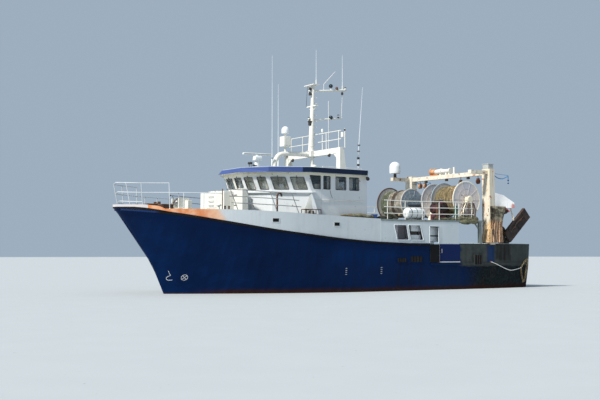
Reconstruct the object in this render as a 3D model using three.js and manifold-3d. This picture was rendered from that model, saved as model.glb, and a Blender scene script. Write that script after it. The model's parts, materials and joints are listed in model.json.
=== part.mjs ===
// Stern trawler of 24.9 m: millimetres, +X to the bow, +Y to port, +Z up, origin amidships on the waterline.
import * as THREE from 'three';
import { mergeVertices } from 'three/addons/utils/BufferGeometryUtils.js';
import Module from 'manifold-3d';

const wasm = await Module();
wasm.setup();

// Driving dimensions
const GAP = 0.3;
const HALF_BEAM = 3600;
const STEM_HALF = 60;
const WORK_DECK_Z = 1200;
const BULKHEAD_X = -600;
const TRANSOM_X = -12100;
const TRANSOM_RAKE = 140;
const QUARTER_RADIUS = 520;
const KEEL_Z = -3000;
const KEEL_HALF = 130;
const SOLE_TOP_Z = -2910;
const STERNPOST_X = -9200;
const BOSS_AFT_X = -9400;
const PROP_X = -9900;
const PROP_Z = -1960;
const PROP_RADIUS = 800;
const RUDDER_X = -10750;
const RUDDER_TRUNK_Z = -1060;
const PLATE = 80;
const SHELTER_END_X = -6100;
const PLATFORM_END_X = -7900;
const DECK_THICK = 90;
const DRUM_X = -7050;
const DRUM_Z = 4930;
const FLANGE_RADIUS = 1040;
const GANTRY_X = -8650;
const GANTRY_TOP = 6700;
const BOARD_LEAN = 42;

// Finishes: colour, roughness, metalness
const FINISH = {
  navy: [0x10245c, 0.5, 0.1],
  black: [0x17191c, 0.7, 0.1],
  antifouling: [0x5c2a22, 0.8, 0.0],
  white: [0xdfe2df, 0.55, 0.05],
  cream: [0xd8cfb8, 0.6, 0.05],
  deckGrey: [0x6f7672, 0.8, 0.05],
  brow: [0x1d3a86, 0.5, 0.1],
  glass: [0x33424a, 0.1, 0.0],
  galvanised: [0x9aa0a2, 0.45, 0.7],
  bronze: [0xa9853f, 0.35, 0.9],
  net: [0x6e7150, 0.95, 0.0],
  netPale: [0xb3a98c, 0.95, 0.0],
  maroon: [0x5e2230, 0.6, 0.1],
  rust: [0x4a2f26, 0.9, 0.1],
  rubber: [0x202224, 0.9, 0.0],
};

// Lines of the ship. Columns: x, z
const SHEER = [[-12600, 2500], [-4700, 2480], [-1900, 2490], [100, 2580], [1700, 2690], [3800, 2890],
  [5750, 3110], [8300, 3500], [10500, 3860], [12500, 4080]];
const DECK_EDGE = [[-8100, 3780], [-5400, 3760], [-1900, 3710], [1500, 3790], [4400, 3900], [7500, 4000],
  [11500, 4010]];
const BOTTOM = [[-12200, -330], [-10500, -640], [-9500, -930], [-8000, -1400], [-6000, -1850],
  [-3000, -2080], [0, -2120], [6000, -2120], [10200, -2050]];
// Fullness of the underwater sections, as an exponent. Columns: x, exponent
const FULLNESS = [[-12200, 0.9], [-8000, 0.85], [-3000, 0.6], [2000, 0.6], [6000, 0.9], [10200, 1.3]];

const model = new THREE.Group();

function valueAt(table, x) {
  const last = table.length - 2;
  let i = 0;
  while (i < last && x > table[i + 1][0]) i++;
  const [x0, z0] = table[i];
  const [x1, z1] = table[i + 1];
  const before = table[Math.max(i - 1, 0)];
  const after = table[Math.min(i + 2, last + 1)];
  const t = THREE.MathUtils.clamp((x - x0) / (x1 - x0), 0, 1);
  const slope0 = (z1 - before[1]) / (x1 - before[0]) * (x1 - x0);
  const slope1 = (after[1] - z0) / (after[0] - x0) * (x1 - x0);
  const t2 = t * t;
  const t3 = t2 * t;
  const ease = 3 * t2 - 2 * t3;
  return (1 - ease) * z0 + ease * z1 + (t3 - 2 * t2 + t) * slope0 + (t3 - t2) * slope1;
}

const sheerZ = (x) => valueAt(SHEER, x);
const deckZ = (x) => valueAt(DECK_EDGE, x);
const lerp = THREE.MathUtils.lerp;
const vec = (x, y, z) => new THREE.Vector3(x, y, z);

// Solids
function closed(geometry) {
  const bare = geometry.clone();
  bare.deleteAttribute('normal');
  bare.deleteAttribute('uv');
  return mergeVertices(bare, 1e-3);
}

function solid(geometry) {
  const merged = closed(geometry);
  const mesh = new wasm.Mesh({
    numProp: 3,
    vertProperties: new Float32Array(merged.attributes.position.array),
    triVerts: new Uint32Array(merged.index.array),
  });
  return new wasm.Manifold(mesh);
}

function surface(manifold) {
  const mesh = manifold.getMesh();
  const geometry = new THREE.BufferGeometry();
  geometry.setAttribute('position', new THREE.BufferAttribute(mesh.vertProperties, 3));
  geometry.setIndex(new THREE.BufferAttribute(mesh.triVerts, 1));
  return geometry;
}

function fuse(first, ...others) {
  return surface(others.reduce((sum, other) => sum.add(solid(other)), solid(first)));
}

function cut(first, ...tools) {
  return surface(tools.reduce((rest, tool) => rest.subtract(solid(tool)), solid(first)));
}

function seatOn(geometry, support) {
  return cut(geometry, support.clone().translate(0, 0, GAP));
}

// Rests on the head of an upright wall and clears its faces.
function seatOver(geometry, wall) {
  return cut(geometry, ...[-5, 0, 5].map((y) => wall.clone().translate(0, y, GAP)));
}

function block(x0, x1, y0, y1, z0, z1) {
  const geometry = new THREE.BoxGeometry(x1 - x0, y1 - y0, z1 - z0);
  return geometry.translate((x0 + x1) / 2, (y0 + y1) / 2, (z0 + z1) / 2);
}

function rod(from, to, radius, sides = 8, radiusTo = radius) {
  const along = to.clone().sub(from);
  const geometry = new THREE.CylinderGeometry(radiusTo, radius, along.length(), sides);
  const turn = new THREE.Quaternion().setFromUnitVectors(vec(0, 1, 0), along.clone().normalize());
  return geometry.applyQuaternion(turn).translate(...from.clone().add(to).multiplyScalar(0.5).toArray());
}

function ball(center, radius, wide = 10, high = 6) {
  return new THREE.SphereGeometry(radius, wide, high).rotateX(Math.PI / 2).translate(...center.toArray());
}

function capTriangles(ring) {
  const normal = vec(0, 0, 0);
  ring.forEach((p, i) => {
    const q = ring[(i + 1) % ring.length];
    normal.add(vec((p.y - q.y) * (p.z + q.z), (p.z - q.z) * (p.x + q.x), (p.x - q.x) * (p.y + q.y)));
  });
  const flat = new THREE.Quaternion().setFromUnitVectors(normal.normalize(), vec(0, 0, 1));
  const outline = ring.map((p) => p.clone().applyQuaternion(flat)).map((p) => new THREE.Vector2(p.x, p.y));
  return THREE.ShapeUtils.triangulateShape(outline, []);
}

// A closed body through rings of equal count; a ring is a closed loop of points.
function loft(rings) {
  const count = rings[0].length;
  const index = [];
  for (let r = 0; r < rings.length - 1; r++) {
    for (let i = 0; i < count; i++) {
      const a = r * count + i;
      const b = r * count + (i + 1) % count;
      index.push(a, b, b + count, a, b + count, a + count);
    }
  }
  capTriangles(rings[0]).forEach(([a, b, c]) => index.push(a, c, b));
  const last = (rings.length - 1) * count;
  capTriangles(rings.at(-1)).forEach(([a, b, c]) => index.push(last + a, last + b, last + c));
  const points = rings.flat();
  const volume = index.reduce((sum, v, i) => (i % 3 ? sum
    : sum + points[v].dot(points[index[i + 1]].clone().cross(points[index[i + 2]]))), 0);
  if (volume < 0) index.reverse();
  const geometry = new THREE.BufferGeometry().setFromPoints(points);
  geometry.setIndex(index);
  return geometry;
}

// A round bar along a bent path, mitred at its bends.
function pipe(points, radius, sides = 4) {
  const rings = points.map((p, i) => {
    const next = points[Math.min(i + 1, points.length - 1)];
    const along = next.clone().sub(points[Math.max(i - 1, 0)]).normalize();
    const up = Math.abs(along.z) > 0.9 ? vec(1, 0, 0) : vec(0, 0, 1);
    const side = along.clone().cross(up).normalize();
    const top = side.clone().cross(along);
    return Array.from({ length: sides }, (_, k) => {
      const angle = (k + 0.5) * 2 * Math.PI / sides;
      const across = side.clone().multiplyScalar(radius * Math.cos(angle));
      return p.clone().add(across).addScaledVector(top, radius * Math.sin(angle));
    });
  });
  return loft(rings);
}

// A ring turned about the Y axis from a closed profile. Columns: radius, y
function turned(profile, sides) {
  const points = [...profile, profile[0]].map(([r, y]) => new THREE.Vector2(r, y));
  return new THREE.LatheGeometry(points, sides);
}

function piece(name, geometry, finish) {
  const [color, roughness, metalness] = FINISH[finish];
  const bare = closed(geometry);
  bare.computeVertexNormals();
  const mesh = new THREE.Mesh(bare, new THREE.MeshStandardMaterial({ color, roughness, metalness }));
  mesh.name = name;
  model.add(mesh);
  return mesh;
}

const mirrored = (points) => points.map((p) => vec(p.x, -p.y, p.z)).reverse();
const sideName = (side) => (side > 0 ? 'port' : 'starboard');

function toSide(geometry, side) {
  if (side > 0) return geometry;
  const flipped = closed(geometry).scale(1, -1, 1);
  const index = Array.from(flipped.index.array).reverse();
  flipped.setIndex(index);
  return flipped;
}

// Hull surface
function stemX(z) {
  const h = z / 1000;
  return h > 0 ? 9880 + 400 * h + 62 * h * h : 9880 - 143 * h * h;
}

const transomX = (z) => TRANSOM_X - TRANSOM_RAKE * z / 1000;

function halfBreadth(x, z) {
  const h = THREE.MathUtils.clamp(z / sheerZ(x), 0, 1);
  const u = THREE.MathUtils.clamp((stemX(z) - x) / lerp(9500, 8200, h), 0, 1);
  const full = lerp(3500, HALF_BEAM, Math.min(1, 2 * h));
  const entry = (1 - (1 - u) ** lerp(1.7, 2.2, h)) ** lerp(1, 0.77, h);
  const v = Math.max(0, (-6500 - x) / 6000);
  return (STEM_HALF + (full - STEM_HALF) * entry) * (1 - 0.13 * v * v);
}

const BODY_X = [-11580, -10900, -10000, -8600, -6800, -4600, -1800, 1200, 3600, 5400, 6900, 8000, 8800,
  9350, 9680, 9880];
const SECTION_ANGLES = [14, 30, 46, 60, 72, 82, 90];

function bodyRing(t, inset) {
  const nominal = lerp(TRANSOM_X, 9880, t);
  const depth = valueAt(BOTTOM, nominal);
  const exponent = valueAt(FULLNESS, nominal);
  const port = SECTION_ANGLES.map((degrees) => {
    const angle = THREE.MathUtils.degToRad(degrees);
    const z = depth * Math.cos(angle) ** exponent;
    const x = lerp(transomX(Math.max(z, 0)), stemX(z), t);
    const y = (halfBreadth(x + stemX(0) - stemX(z), 0) - inset) * Math.sin(angle) ** exponent;
    return vec(x, Math.max(y, 20), z);
  });
  [600, WORK_DECK_Z].forEach((z) => {
    const x = lerp(transomX(z), stemX(z), t);
    port.push(vec(x, halfBreadth(x, z) - inset, z));
  });
  const centre = vec(lerp(TRANSOM_X, stemX(depth), t), 0, depth);
  return [centre, ...port, ...mirrored(port)];
}

function hullBody() {
  const span = stemX(0) - TRANSOM_X;
  const rings = [0, 30, 60].map((degrees) => {
    const angle = THREE.MathUtils.degToRad(degrees);
    return bodyRing(QUARTER_RADIUS * (1 - Math.cos(angle)) / span, QUARTER_RADIUS * (1 - Math.sin(angle)));
  });
  BODY_X.forEach((x) => rings.push(bodyRing((x - TRANSOM_X) / span, 0)));
  return loft(rings);
}

function keelAndSkeg() {
  const outline = new THREE.Shape();
  outline.moveTo(9000, -1900);
  outline.lineTo(8200, -2750);
  outline.lineTo(7300, KEEL_Z);
  outline.lineTo(-11500, KEEL_Z);
  outline.lineTo(-11500, SOLE_TOP_Z);
  outline.lineTo(STERNPOST_X, SOLE_TOP_Z);
  outline.lineTo(STERNPOST_X, -700);
  outline.lineTo(-7600, -700);
  outline.lineTo(-5000, -1500);
  outline.lineTo(8000, -1500);
  const slab = new THREE.ExtrudeGeometry(outline, { depth: 2 * KEEL_HALF, bevelEnabled: false });
  return slab.rotateX(Math.PI / 2).translate(0, KEEL_HALF, 0);
}

function bulb() {
  // Columns: radius, distance forward
  const profile = [[0, 0], [300, 300], [470, 1000], [490, 1600], [400, 2200], [210, 2520], [0, 2620]];
  const points = profile.map(([r, y]) => new THREE.Vector2(r, y));
  const shape = new THREE.LatheGeometry(points, 14).rotateZ(-Math.PI / 2).scale(1, 0.85, 1.1);
  return shape.translate(8400, 0, -1560);
}

function makeHull() {
  const boss = rod(vec(-7900, 0, PROP_Z), vec(BOSS_AFT_X, 0, PROP_Z), 210, 12);
  const tunnel = rod(vec(8450, -1500, -1350), vec(8450, 1500, -1350), 270, 14);
  const trunk = rod(vec(RUDDER_X, 0, RUDDER_TRUNK_Z), vec(RUDDER_X, 0, -300), 150, 12);
  const whole = cut(fuse(hullBody(), keelAndSkeg(), bulb(), boss, trunk), tunnel);
  piece('hull', whole, 'antifouling');
  return whole;
}

// Raised bow above the level of the working deck
const FORE_T = [0, 0.12, 0.24, 0.36, 0.48, 0.58, 0.67, 0.75, 0.82, 0.88, 0.93, 0.97, 0.99, 1];
const STRAKE_END_T = 0.88;

function forePoint(t, rise) {
  let x = lerp(BULKHEAD_X, 12400, t);
  let z = WORK_DECK_Z;
  for (let pass = 0; pass < 8; pass++) {
    z = lerp(WORK_DECK_Z + GAP, sheerZ(x), rise);
    x = lerp(BULKHEAD_X, stemX(z), t);
  }
  return vec(x, halfBreadth(x, z), z);
}

function makeForeHull() {
  const rings = FORE_T.map((t) => {
    const port = [0, 0.33, 0.67, 1].map((rise) => forePoint(t, rise));
    return [...port, ...mirrored(port)];
  });
  const geometry = loft(rings);
  piece('hull_fore', geometry, 'navy');
  return geometry;
}

function makeForeStrake() {
  const rings = FORE_T.filter((t) => t <= STRAKE_END_T).map((t) => {
    const edge = forePoint(t, 1);
    const port = [edge.clone().add(vec(0, -20, GAP)), vec(edge.x, edge.y - 20, deckZ(edge.x))];
    return [...port, ...mirrored(port)];
  });
  const geometry = loft(rings);
  piece('strake_fore', geometry, 'white');
  return geometry;
}

// Bulwarks: a wall with its foot on the working deck and its head on the sheer.
const GATE_FORE_X = -4600;
const GATE_AFT_X = -6150;
const GATE_SILL_Z = 1460;
const PASSAGE_FORE_X = -3950;
const GATE_HINGE_Z = [1650, 2250];

const BULWARK_AFT_X = TRANSOM_X - TRANSOM_RAKE * WORK_DECK_Z / 1000 + QUARTER_RADIUS;
const STERN_HEAD_Z = 2500;

function wallRing(x, outerLow, outerHigh, z0, z1, thick) {
  const outer = [vec(x, outerLow, z0), vec(x, outerHigh, z1)];
  return [...outer, vec(x, outerHigh - thick, z1), vec(x, outerLow - thick, z0)];
}

function bulwarkSide(side) {
  const foot = WORK_DECK_Z + GAP;
  const last = BULWARK_AFT_X + GAP;
  const wall = loft([BULKHEAD_X - GAP, -2500, -4700, -6800, -8600, -10000, -10900, last].map((x) => {
    const head = sheerZ(x);
    return wallRing(x, halfBreadth(x, foot), halfBreadth(x, head), foot, head, PLATE);
  }));
  const guard = loft([-4000, -6800, -8600, -10000, -10900, last].map((x) => {
    const y = halfBreadth(x, 1380);
    return wallRing(x, y + 60, y + 60, 1320, 1430, 90);
  }));
  const whole = fuse(wall, guard);
  if (side < 0) return toSide(whole, side);
  const opened = cut(whole, block(GATE_AFT_X, PASSAGE_FORE_X, 3000, 4000, GATE_SILL_Z, 3000));
  const lugs = GATE_HINGE_Z.flatMap((z) => [
    block(GATE_AFT_X - 80, GATE_AFT_X - 10, 3460, 3530, z - 50, z - GAP),
    block(GATE_AFT_X - 20, GATE_AFT_X + 54, 3460, 3514, z - 50, z - GAP),
  ]);
  return fuse(opened, ...lugs);
}

// One upright slice of the stern wall; the angle runs from 90 at the side joint to 0 at the transom.
function sternRing(degrees) {
  const angle = THREE.MathUtils.degToRad(degrees);
  const aftward = Math.cos(angle);
  const outward = Math.sin(angle);
  const foot = WORK_DECK_Z + GAP;
  const lean = aftward * TRANSOM_RAKE * (STERN_HEAD_Z - foot) / 1000;
  const x = BULWARK_AFT_X - QUARTER_RADIUS * aftward;
  const y = halfBreadth(x, WORK_DECK_Z) - QUARTER_RADIUS * (1 - outward);
  const inside = vec(PLATE * aftward, -PLATE * outward, 0);
  const outer = [vec(x, y, foot), vec(x - lean, y, STERN_HEAD_Z)];
  return [...outer, ...outer.map((p) => p.clone().add(inside)).reverse()];
}

function makeStern() {
  const port = [90, 60, 30, 0].map(sternRing);
  const starboard = port.map((ring) => ring.map((p) => vec(p.x, -p.y, p.z))).reverse();
  piece('bulwark_stern', loft([...port, ...starboard]), 'black');
}

function makeBulwarks() {
  const walls = {};
  [1, -1].forEach((side) => {
    const wall = bulwarkSide(side);
    piece(`bulwark_${sideName(side)}`, wall, 'navy');
    walls[side] = wall;
  });
  makeStern();
  return walls;
}

function makeGate() {
  const clear = 6;
  const foot = GATE_SILL_Z + clear;
  const head = 2455;
  const panel = block(GATE_AFT_X + clear, GATE_FORE_X, 3530, 3590, foot, head);
  const hingeX = GATE_AFT_X + 40;
  const hinges = GATE_HINGE_Z.map((z) => rod(vec(hingeX, 3500, z), vec(hingeX, 3500, z + 140), 34));
  piece('bulwark_gate', fuse(panel, ...hinges), 'navy');
}

// Shelter deck and its sides
// Openings in the side plating. Columns: x fore top, x aft top, x fore foot, x aft foot, z foot, z head
const SIDE_OPENINGS = [
  [-1480, -2330, -1700, -2520, 2640, 3440],
  [-2430, -3280, -2620, -3520, 2640, 3440],
  [PASSAGE_FORE_X, GATE_FORE_X, PASSAGE_FORE_X, GATE_FORE_X, 2300, 3400],
];

function openingCutter([foreTop, aftTop, foreFoot, aftFoot, foot, head]) {
  return loft([3000, 4000].map((y) => (
    [vec(foreFoot, y, foot), vec(foreTop, y, head), vec(aftTop, y, head), vec(aftFoot, y, foot)])));
}

function makeShelter(bulwarks) {
  const stations = [BULKHEAD_X - GAP, -2500, -4700, SHELTER_END_X];
  const deckStations = [BULKHEAD_X - GAP, -1900, -3600, -5400, PLATFORM_END_X];
  const plate = loft(deckStations.map((x) => (
    wallRing(x, HALF_BEAM, HALF_BEAM, deckZ(x) - DECK_THICK, deckZ(x), 2 * HALF_BEAM))));
  const underDeck = plate.clone().translate(0, 0, -GAP);
  [1, -1].forEach((side) => {
    const wall = loft(stations.map((x) => wallRing(x, 3585, 3585, sheerZ(x) - 12, deckZ(x) - 30, 50)));
    const opened = cut(wall, ...SIDE_OPENINGS.map(openingCutter));
    const seated = seatOn(toSide(opened, side), bulwarks[side]);
    piece(`shelter_side_${sideName(side)}`, cut(seated, underDeck), 'white');
  });
  const legs = [1, -1].flatMap((side) => [
    seatOver(block(-7840, -7640, side * 3500 - 60, side * 3500 + 60, 2450, 3740), bulwarks[side]),
    rod(vec(-7250, side * 3480, 3740), vec(-7760, side * 3480, 3230), 45),
  ]);
  piece('shelter_deck', fuse(plate, ...legs), 'deckGrey');
  return plate;
}

// Sheer rail in rubber along the joint of hull and strake
function makeSheerRails(foreHull, bulwarks) {
  const stations = [-3900, -1900, 100, 1700, 3800, 5750, 7200, 8300, 9400, 10300, 11100, 11700, 12100,
    12330];
  [1, -1].forEach((side) => {
    const rings = stations.map((x) => {
      const z = sheerZ(x) - 70;
      const y = side * (halfBreadth(x, z) - 30);
      const face = y + side * 92;
      return [vec(x, y, z - 55), vec(x, face, z - 40), vec(x, face, z + 40), vec(x, y, z + 55)];
    });
    const shift = [GAP, side * GAP, 0];
    const joint = block(BULKHEAD_X - 1, BULKHEAD_X + 1, -HALF_BEAM - GAP, HALF_BEAM + GAP, 2000, 3000);
    const walls = [foreHull, bulwarks[side]].map((wall) => wall.clone().translate(...shift));
    piece(`sheer_rail_${sideName(side)}`, cut(loft(rings), ...walls, joint), 'black');
  });
}

// Railings: bars along a path at several heights, with a post at every step.
function railing(path, heights, radius, lean = vec(0, 0, 0)) {
  const top = heights.at(-1);
  const place = (p, h) => p.clone().addScaledVector(lean, h / top).add(vec(0, 0, h));
  const bars = heights.map((h) => pipe(path.map((p) => place(p, h)), radius));
  const posts = path.slice(1, -1).map((p) => rod(place(p, 0), place(p, top), radius, 4));
  return fuse(bars[0], ...bars.slice(1), ...posts);
}

function deckPath(xs, inset, rise) {
  return xs.map((x) => vec(x, halfBreadth(x, sheerZ(x)) - inset, Math.max(deckZ(x), sheerZ(x)) + rise));
}

function makeRailings(foreHull, strake, plate) {
  [1, -1].forEach((side) => {
    const bow = [vec(12420, 1, 4080), ...deckPath([12200, 11700, 10900, 10000, 9100, 8300], 90, -8)];
    const bowRail = seatOn(seatOn(railing(bow, [330, 760, 1200], 24, vec(130, 0, 0)), foreHull), strake);
    const halved = cut(bowRail, block(12000, 13000, -200, GAP, 4000, 6000));
    piece(`bow_rail_${sideName(side)}`, toSide(halved, side), 'white');
    const waist = deckPath([7750, 7560, 6780, 5600, 4420, 4150], 90, -20);
    const waistRail = seatOn(railing(waist, [330, 640, 960], 20, vec(420, 0, 0)), strake);
    piece(`waist_rail_${sideName(side)}`, toSide(waistRail, side), 'galvanised');
    const steps = [-900, -1100, -2300, -3500, -4700, -5900, -6150];
    const aft = (side > 0 ? [...steps, -7100, -7300] : steps).map((x) => vec(x, 3520, deckZ(x) - 20));
    const aftRail = seatOn(railing(aft, [330, 660, 1000], 20), plate);
    piece(`aft_rail_${sideName(side)}`, toSide(aftRail, side), 'white');
  });
}

// Wheelhouse outline at the sills, on the port side. Columns: x, y
const HOUSE = [[-250, 2900], [3280, 2900], [4980, 1960], [5810, 860]];
const SILL_Z = 5050;
const HEAD_Z = 5860;
const HOUSE_RAKE = 0.4;
const HEAD_LEAN = HOUSE_RAKE * (HEAD_Z - SILL_Z);
const ROOF_Z = 5950;
const ROOF_TOP_Z = 6230;
const WALL = 70;
// Edge of the brow on the port side. Columns: x, y, how far its foot runs ahead of its head
const BROW = [[-290, 2960, 0], [-40, 3240, 0], [3500, 3240, 0], [5370, 2250, 60], [6190, 940, 270]];

function shifted(ring, offset) {
  return ring.map((p, i) => {
    const before = ring.at(i - 1);
    const after = ring[(i + 1) % ring.length];
    const n1 = vec(before.y - p.y, p.x - before.x, 0).normalize();
    const n2 = vec(p.y - after.y, after.x - p.x, 0).normalize();
    const middle = n1.clone().add(n2).normalize();
    return p.clone().addScaledVector(middle, offset / middle.dot(n1));
  });
}

function houseOutline(lean, offset, z) {
  const port = HOUSE.map(([x, y], i) => vec(x + (i ? lean : 0), y, z));
  return shifted([...port, ...mirrored(port)], offset);
}

// Front windows by wall. Columns: wall counted from the side, start and end along it
const FRONT_WINDOWS = [
  [1, 0.074, 0.436],
  [1, 0.554, 0.936],
  [2, 0.1, 0.44],
  [2, 0.6, 0.937],
  [3, 0.066, 0.48],
];
// Side windows. Columns: aft edge, fore edge at the foot, fore edge at the head
const SIDE_WINDOWS = [
  [2690, 3130, 3380],
  [2095, 2535, 2535],
  [1100, 1775, 1775],
  [270, 900, 900],
];
const DOOR_Y = -1500;
const DOOR_WIDE = 760;
const DOOR_FOOT = 3860;
const DOOR_HEAD = 5760;
const DOOR_HINGE_X = -302;
const DOOR_HINGE_Y = DOOR_Y + 400;
const DOOR_HINGE_Z = [4100, 5400];

function frontCutter([wall, start, end]) {
  return loft([5110, 5730].map((z) => {
    const ring = houseOutline(HOUSE_RAKE * (z - SILL_Z), 0, z);
    const [a, b] = [ring[wall], ring[wall + 1]];
    const out = vec(a.y - b.y, b.x - a.x, 0).normalize().multiplyScalar(300);
    const ends = [start, end].map((share) => a.clone().lerp(b, share));
    return [...ends.map((p) => p.clone().add(out)), ...ends.map((p) => p.clone().sub(out)).reverse()];
  }));
}

function sideCutter([aft, foreFoot, foreHead]) {
  return loft([2500, 3300].map((y) => (
    [vec(aft, y, 5160), vec(foreFoot, y, 5160), vec(foreHead, y, 5830), vec(aft, y, 5830)])));
}

// Casing at the fore corner of the side, wide at the deck and pointed under the sill
function cornerFairing() {
  const foot = [[3500, 3400], [3110, 3400], [3000, 2850], [3720, 2620]].map(([x, y]) => vec(x, y, 3700));
  const tip = [[3330, 2940], [3270, 2940], [3260, 2860], [3340, 2840]].map(([x, y]) => vec(x, y, 4960));
  return loft([foot, tip]);
}

function sillLedge() {
  // Columns: z, how far out
  const levels = [[4890, 5], [4950, 120], [5020, 120], [5045, 5]];
  const ring = loft(levels.map(([z, offset]) => houseOutline(0, offset, z)));
  return cut(ring, block(-1000, 3050, -4000, 4000, 4000, 6000));
}

function makeWheelhouse(strake) {
  const levels = [[0, 3700], [0, SILL_Z], [HEAD_LEAN, HEAD_Z], [HEAD_LEAN, ROOF_Z]];
  const outer = loft(levels.map(([lean, z]) => houseOutline(lean, 0, z)));
  const room = [[0, 3600], [0, SILL_Z], [HEAD_LEAN, HEAD_Z], [HEAD_LEAN, ROOF_Z + 100]];
  const inner = loft(room.map(([lean, z]) => houseOutline(lean, -WALL, z)));
  const cutters = [...FRONT_WINDOWS.map(frontCutter), ...SIDE_WINDOWS.map(sideCutter)];
  const aftWindow = block(-600, 100, 150, 1050, 5160, 5780);
  const doorway = block(-500, 0, DOOR_Y - DOOR_WIDE / 2, DOOR_Y + DOOR_WIDE / 2, DOOR_FOOT, DOOR_HEAD);
  const lugs = DOOR_HINGE_Z.map((z) => (
    block(DOOR_HINGE_X + 5, -240, DOOR_HINGE_Y + 5, DOOR_HINGE_Y + 60, z - 40, z - GAP)));
  const fairings = [1, -1].map((side) => toSide(cornerFairing(), side));
  const shell = cut(fuse(outer, sillLedge(), ...fairings), inner, aftWindow, doorway);
  const opened = cut(shell, ...[1, -1].flatMap((side) => cutters.map((cutter) => toSide(cutter, side))));
  piece('wheelhouse_walls', seatOn(fuse(opened, ...lugs), strake), 'white');
}

function makeGlass() {
  const band = (offset, grow) => loft([[-grow * HOUSE_RAKE, SILL_Z - grow],
    [HEAD_LEAN + grow * HOUSE_RAKE, HEAD_Z + grow]].map(([lean, z]) => houseOutline(lean, offset, z)));
  const doorSlot = block(-400, 100, DOOR_Y - DOOR_WIDE / 2 - 60, DOOR_Y + DOOR_WIDE / 2 + 60, 3500, 6200);
  piece('wheelhouse_glass', cut(band(-WALL - GAP, 0), band(-WALL - 18, 50), doorSlot), 'glass');
}

function makeRoof() {
  const edge = (ahead) => {
    const port = BROW.map(([x, y, run]) => vec(x + run * ahead, y, 0));
    return [...port, ...mirrored(port)];
  };
  // Columns: share of the foot's run ahead, inset, z
  const levels = [[1, -30, ROOF_Z + GAP], [0, 0, ROOF_TOP_Z - 30], [0, -60, ROOF_TOP_Z]];
  const rings = levels.map(([ahead, inset, z]) => shifted(edge(ahead), inset).map((p) => vec(p.x, p.y, z)));
  piece('wheelhouse_roof', loft(rings), 'brow');
}

function makeDoor() {
  const clear = 6;
  const half = DOOR_WIDE / 2 + 20;
  const panel = block(-305, -258, DOOR_Y - half, DOOR_Y + half, DOOR_FOOT + clear, DOOR_HEAD - clear);
  const light = block(-400, -200, DOOR_Y - 180, DOOR_Y + 180, 5050, 5550);
  const hinges = DOOR_HINGE_Z.map((z) => (
    rod(vec(DOOR_HINGE_X, DOOR_HINGE_Y, z), vec(DOOR_HINGE_X, DOOR_HINGE_Y, z + 120), 22)));
  const pull = block(-350, -300, DOOR_Y - 340, DOOR_Y - 310, 4800, 4950);
  piece('wheelhouse_door', fuse(cut(panel, light), ...hinges, pull), 'white');
}

function makeHelm(strake) {
  const console = block(4150, 4650, -1300, 1300, 3800, 4880);
  piece('helm_console', seatOn(console, strake), 'black');
  const seat = block(3050, 3550, -260, 260, 4480, 4600);
  const back = block(3050, 3140, -250, 250, 4560, 5200);
  const chair = fuse(rod(vec(3300, 0, 3800), vec(3300, 0, 4500), 60), seat, back);
  piece('helm_chair', seatOn(chair, strake), 'rubber');
}

const WINDLASS_X = 9080;
const WINDLASS_Z = 4430;

function makeWindlass(strake) {
  const bed = fuse(block(8700, 9400, -450, 450, 3800, 4120), block(8760, 9340, -400, -300, 4100, 4620),
    block(8760, 9340, 300, 400, 4100, 4620), block(8780, 9000, 400, 700, 3800, 4500));
  const shaftEnd = 360;
  const bearing = shaftEnd + GAP;
  const bore = rod(vec(WINDLASS_X, -bearing, WINDLASS_Z), vec(WINDLASS_X, bearing, WINDLASS_Z), 76, 14);
  piece('windlass_frame', seatOn(cut(bed, bore), strake), 'white');
  const half = [[0.01, shaftEnd], [70, shaftEnd], [70, 260], [230, 250], [230, 220], [120, 190]];
  const profile = [...half, ...half.map(([r, y]) => [r, -y]).reverse()];
  piece('windlass_drum', turned(profile.reverse(), 12), 'galvanised').position.set(WINDLASS_X, 0, WINDLASS_Z);
}

function makeForedeck(strake, foreHull) {
  const trunk = fuse(block(5960, 7300, -1200, 1200, 3900, 5000), block(6400, 6730, 700, 2000, 3900, 5090));
  piece('fore_trunk', seatOn(trunk, strake), 'white');
  // Swan neck. Columns: x, z
  const bend = [[5300, 3900], [5300, 4700], [5250, 4830], [5150, 4870], [5070, 4820], [5050, 4700]];
  const neck = pipe(bend.map(([x, z]) => vec(x, 2900, z)), 45, 8);
  piece('swan_neck_vent', seatOn(neck, strake), 'rust');
  const stumps = [-210, 210].map((y) => rod(vec(10300, y, 4000), vec(10300, y, 4420), 80));
  const bar = rod(vec(10300, -330, 4320), vec(10300, 330, 4320), 40);
  const bitts = fuse(block(10050, 10550, -330, 330, 3950, 4060), ...stumps, bar);
  piece('mooring_bitts', seatOn(seatOn(bitts, strake), foreHull), 'rust');
}

// Roof gear
const BEAM_TOP_Z = 7400;
const MAST_FORE_X = 1450;

function makePortal(roofZ) {
  // Legs. Columns: z, length, width
  const legShape = [[roofZ, 400, 270], [7150, 270, 240], [BEAM_TOP_Z, 260, 240]];
  const legs = [2350, -2350].map((y) => loft(legShape.map(([z, long, wide]) => (
    [vec(1250, y + wide / 2, z), vec(1250 - long, y + wide / 2, z), vec(1250 - long, y - wide / 2, z),
      vec(1250, y - wide / 2, z)]))));
  const beam = block(990, 1230, -2470, 2470, 7110, BEAM_TOP_Z);
  const pad = block(930, MAST_FORE_X, -260, 260, 7110, BEAM_TOP_Z);
  const foot = rod(vec(1200, 0, roofZ), vec(1200, 0, 7150), 90);
  const cabinet = block(860, 1080, 2330, 2590, BEAM_TOP_Z - 20, 8400);
  piece('mast_portal', fuse(beam, ...legs, pad, foot, cabinet), 'white');
  const path = [-2400, -2200, -1100, -350].map((y) => vec(1050, y, BEAM_TOP_Z + GAP));
  const rails = [path, path.map((p) => vec(p.x, -p.y - 250, p.z)).reverse()].map((side) => (
    railing(side, [460, 900], 20)));
  piece('portal_rail', fuse(...rails, rod(vec(1050, -450, 8300), vec(1050, 450, 8300), 20, 4)), 'white');
}

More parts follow.
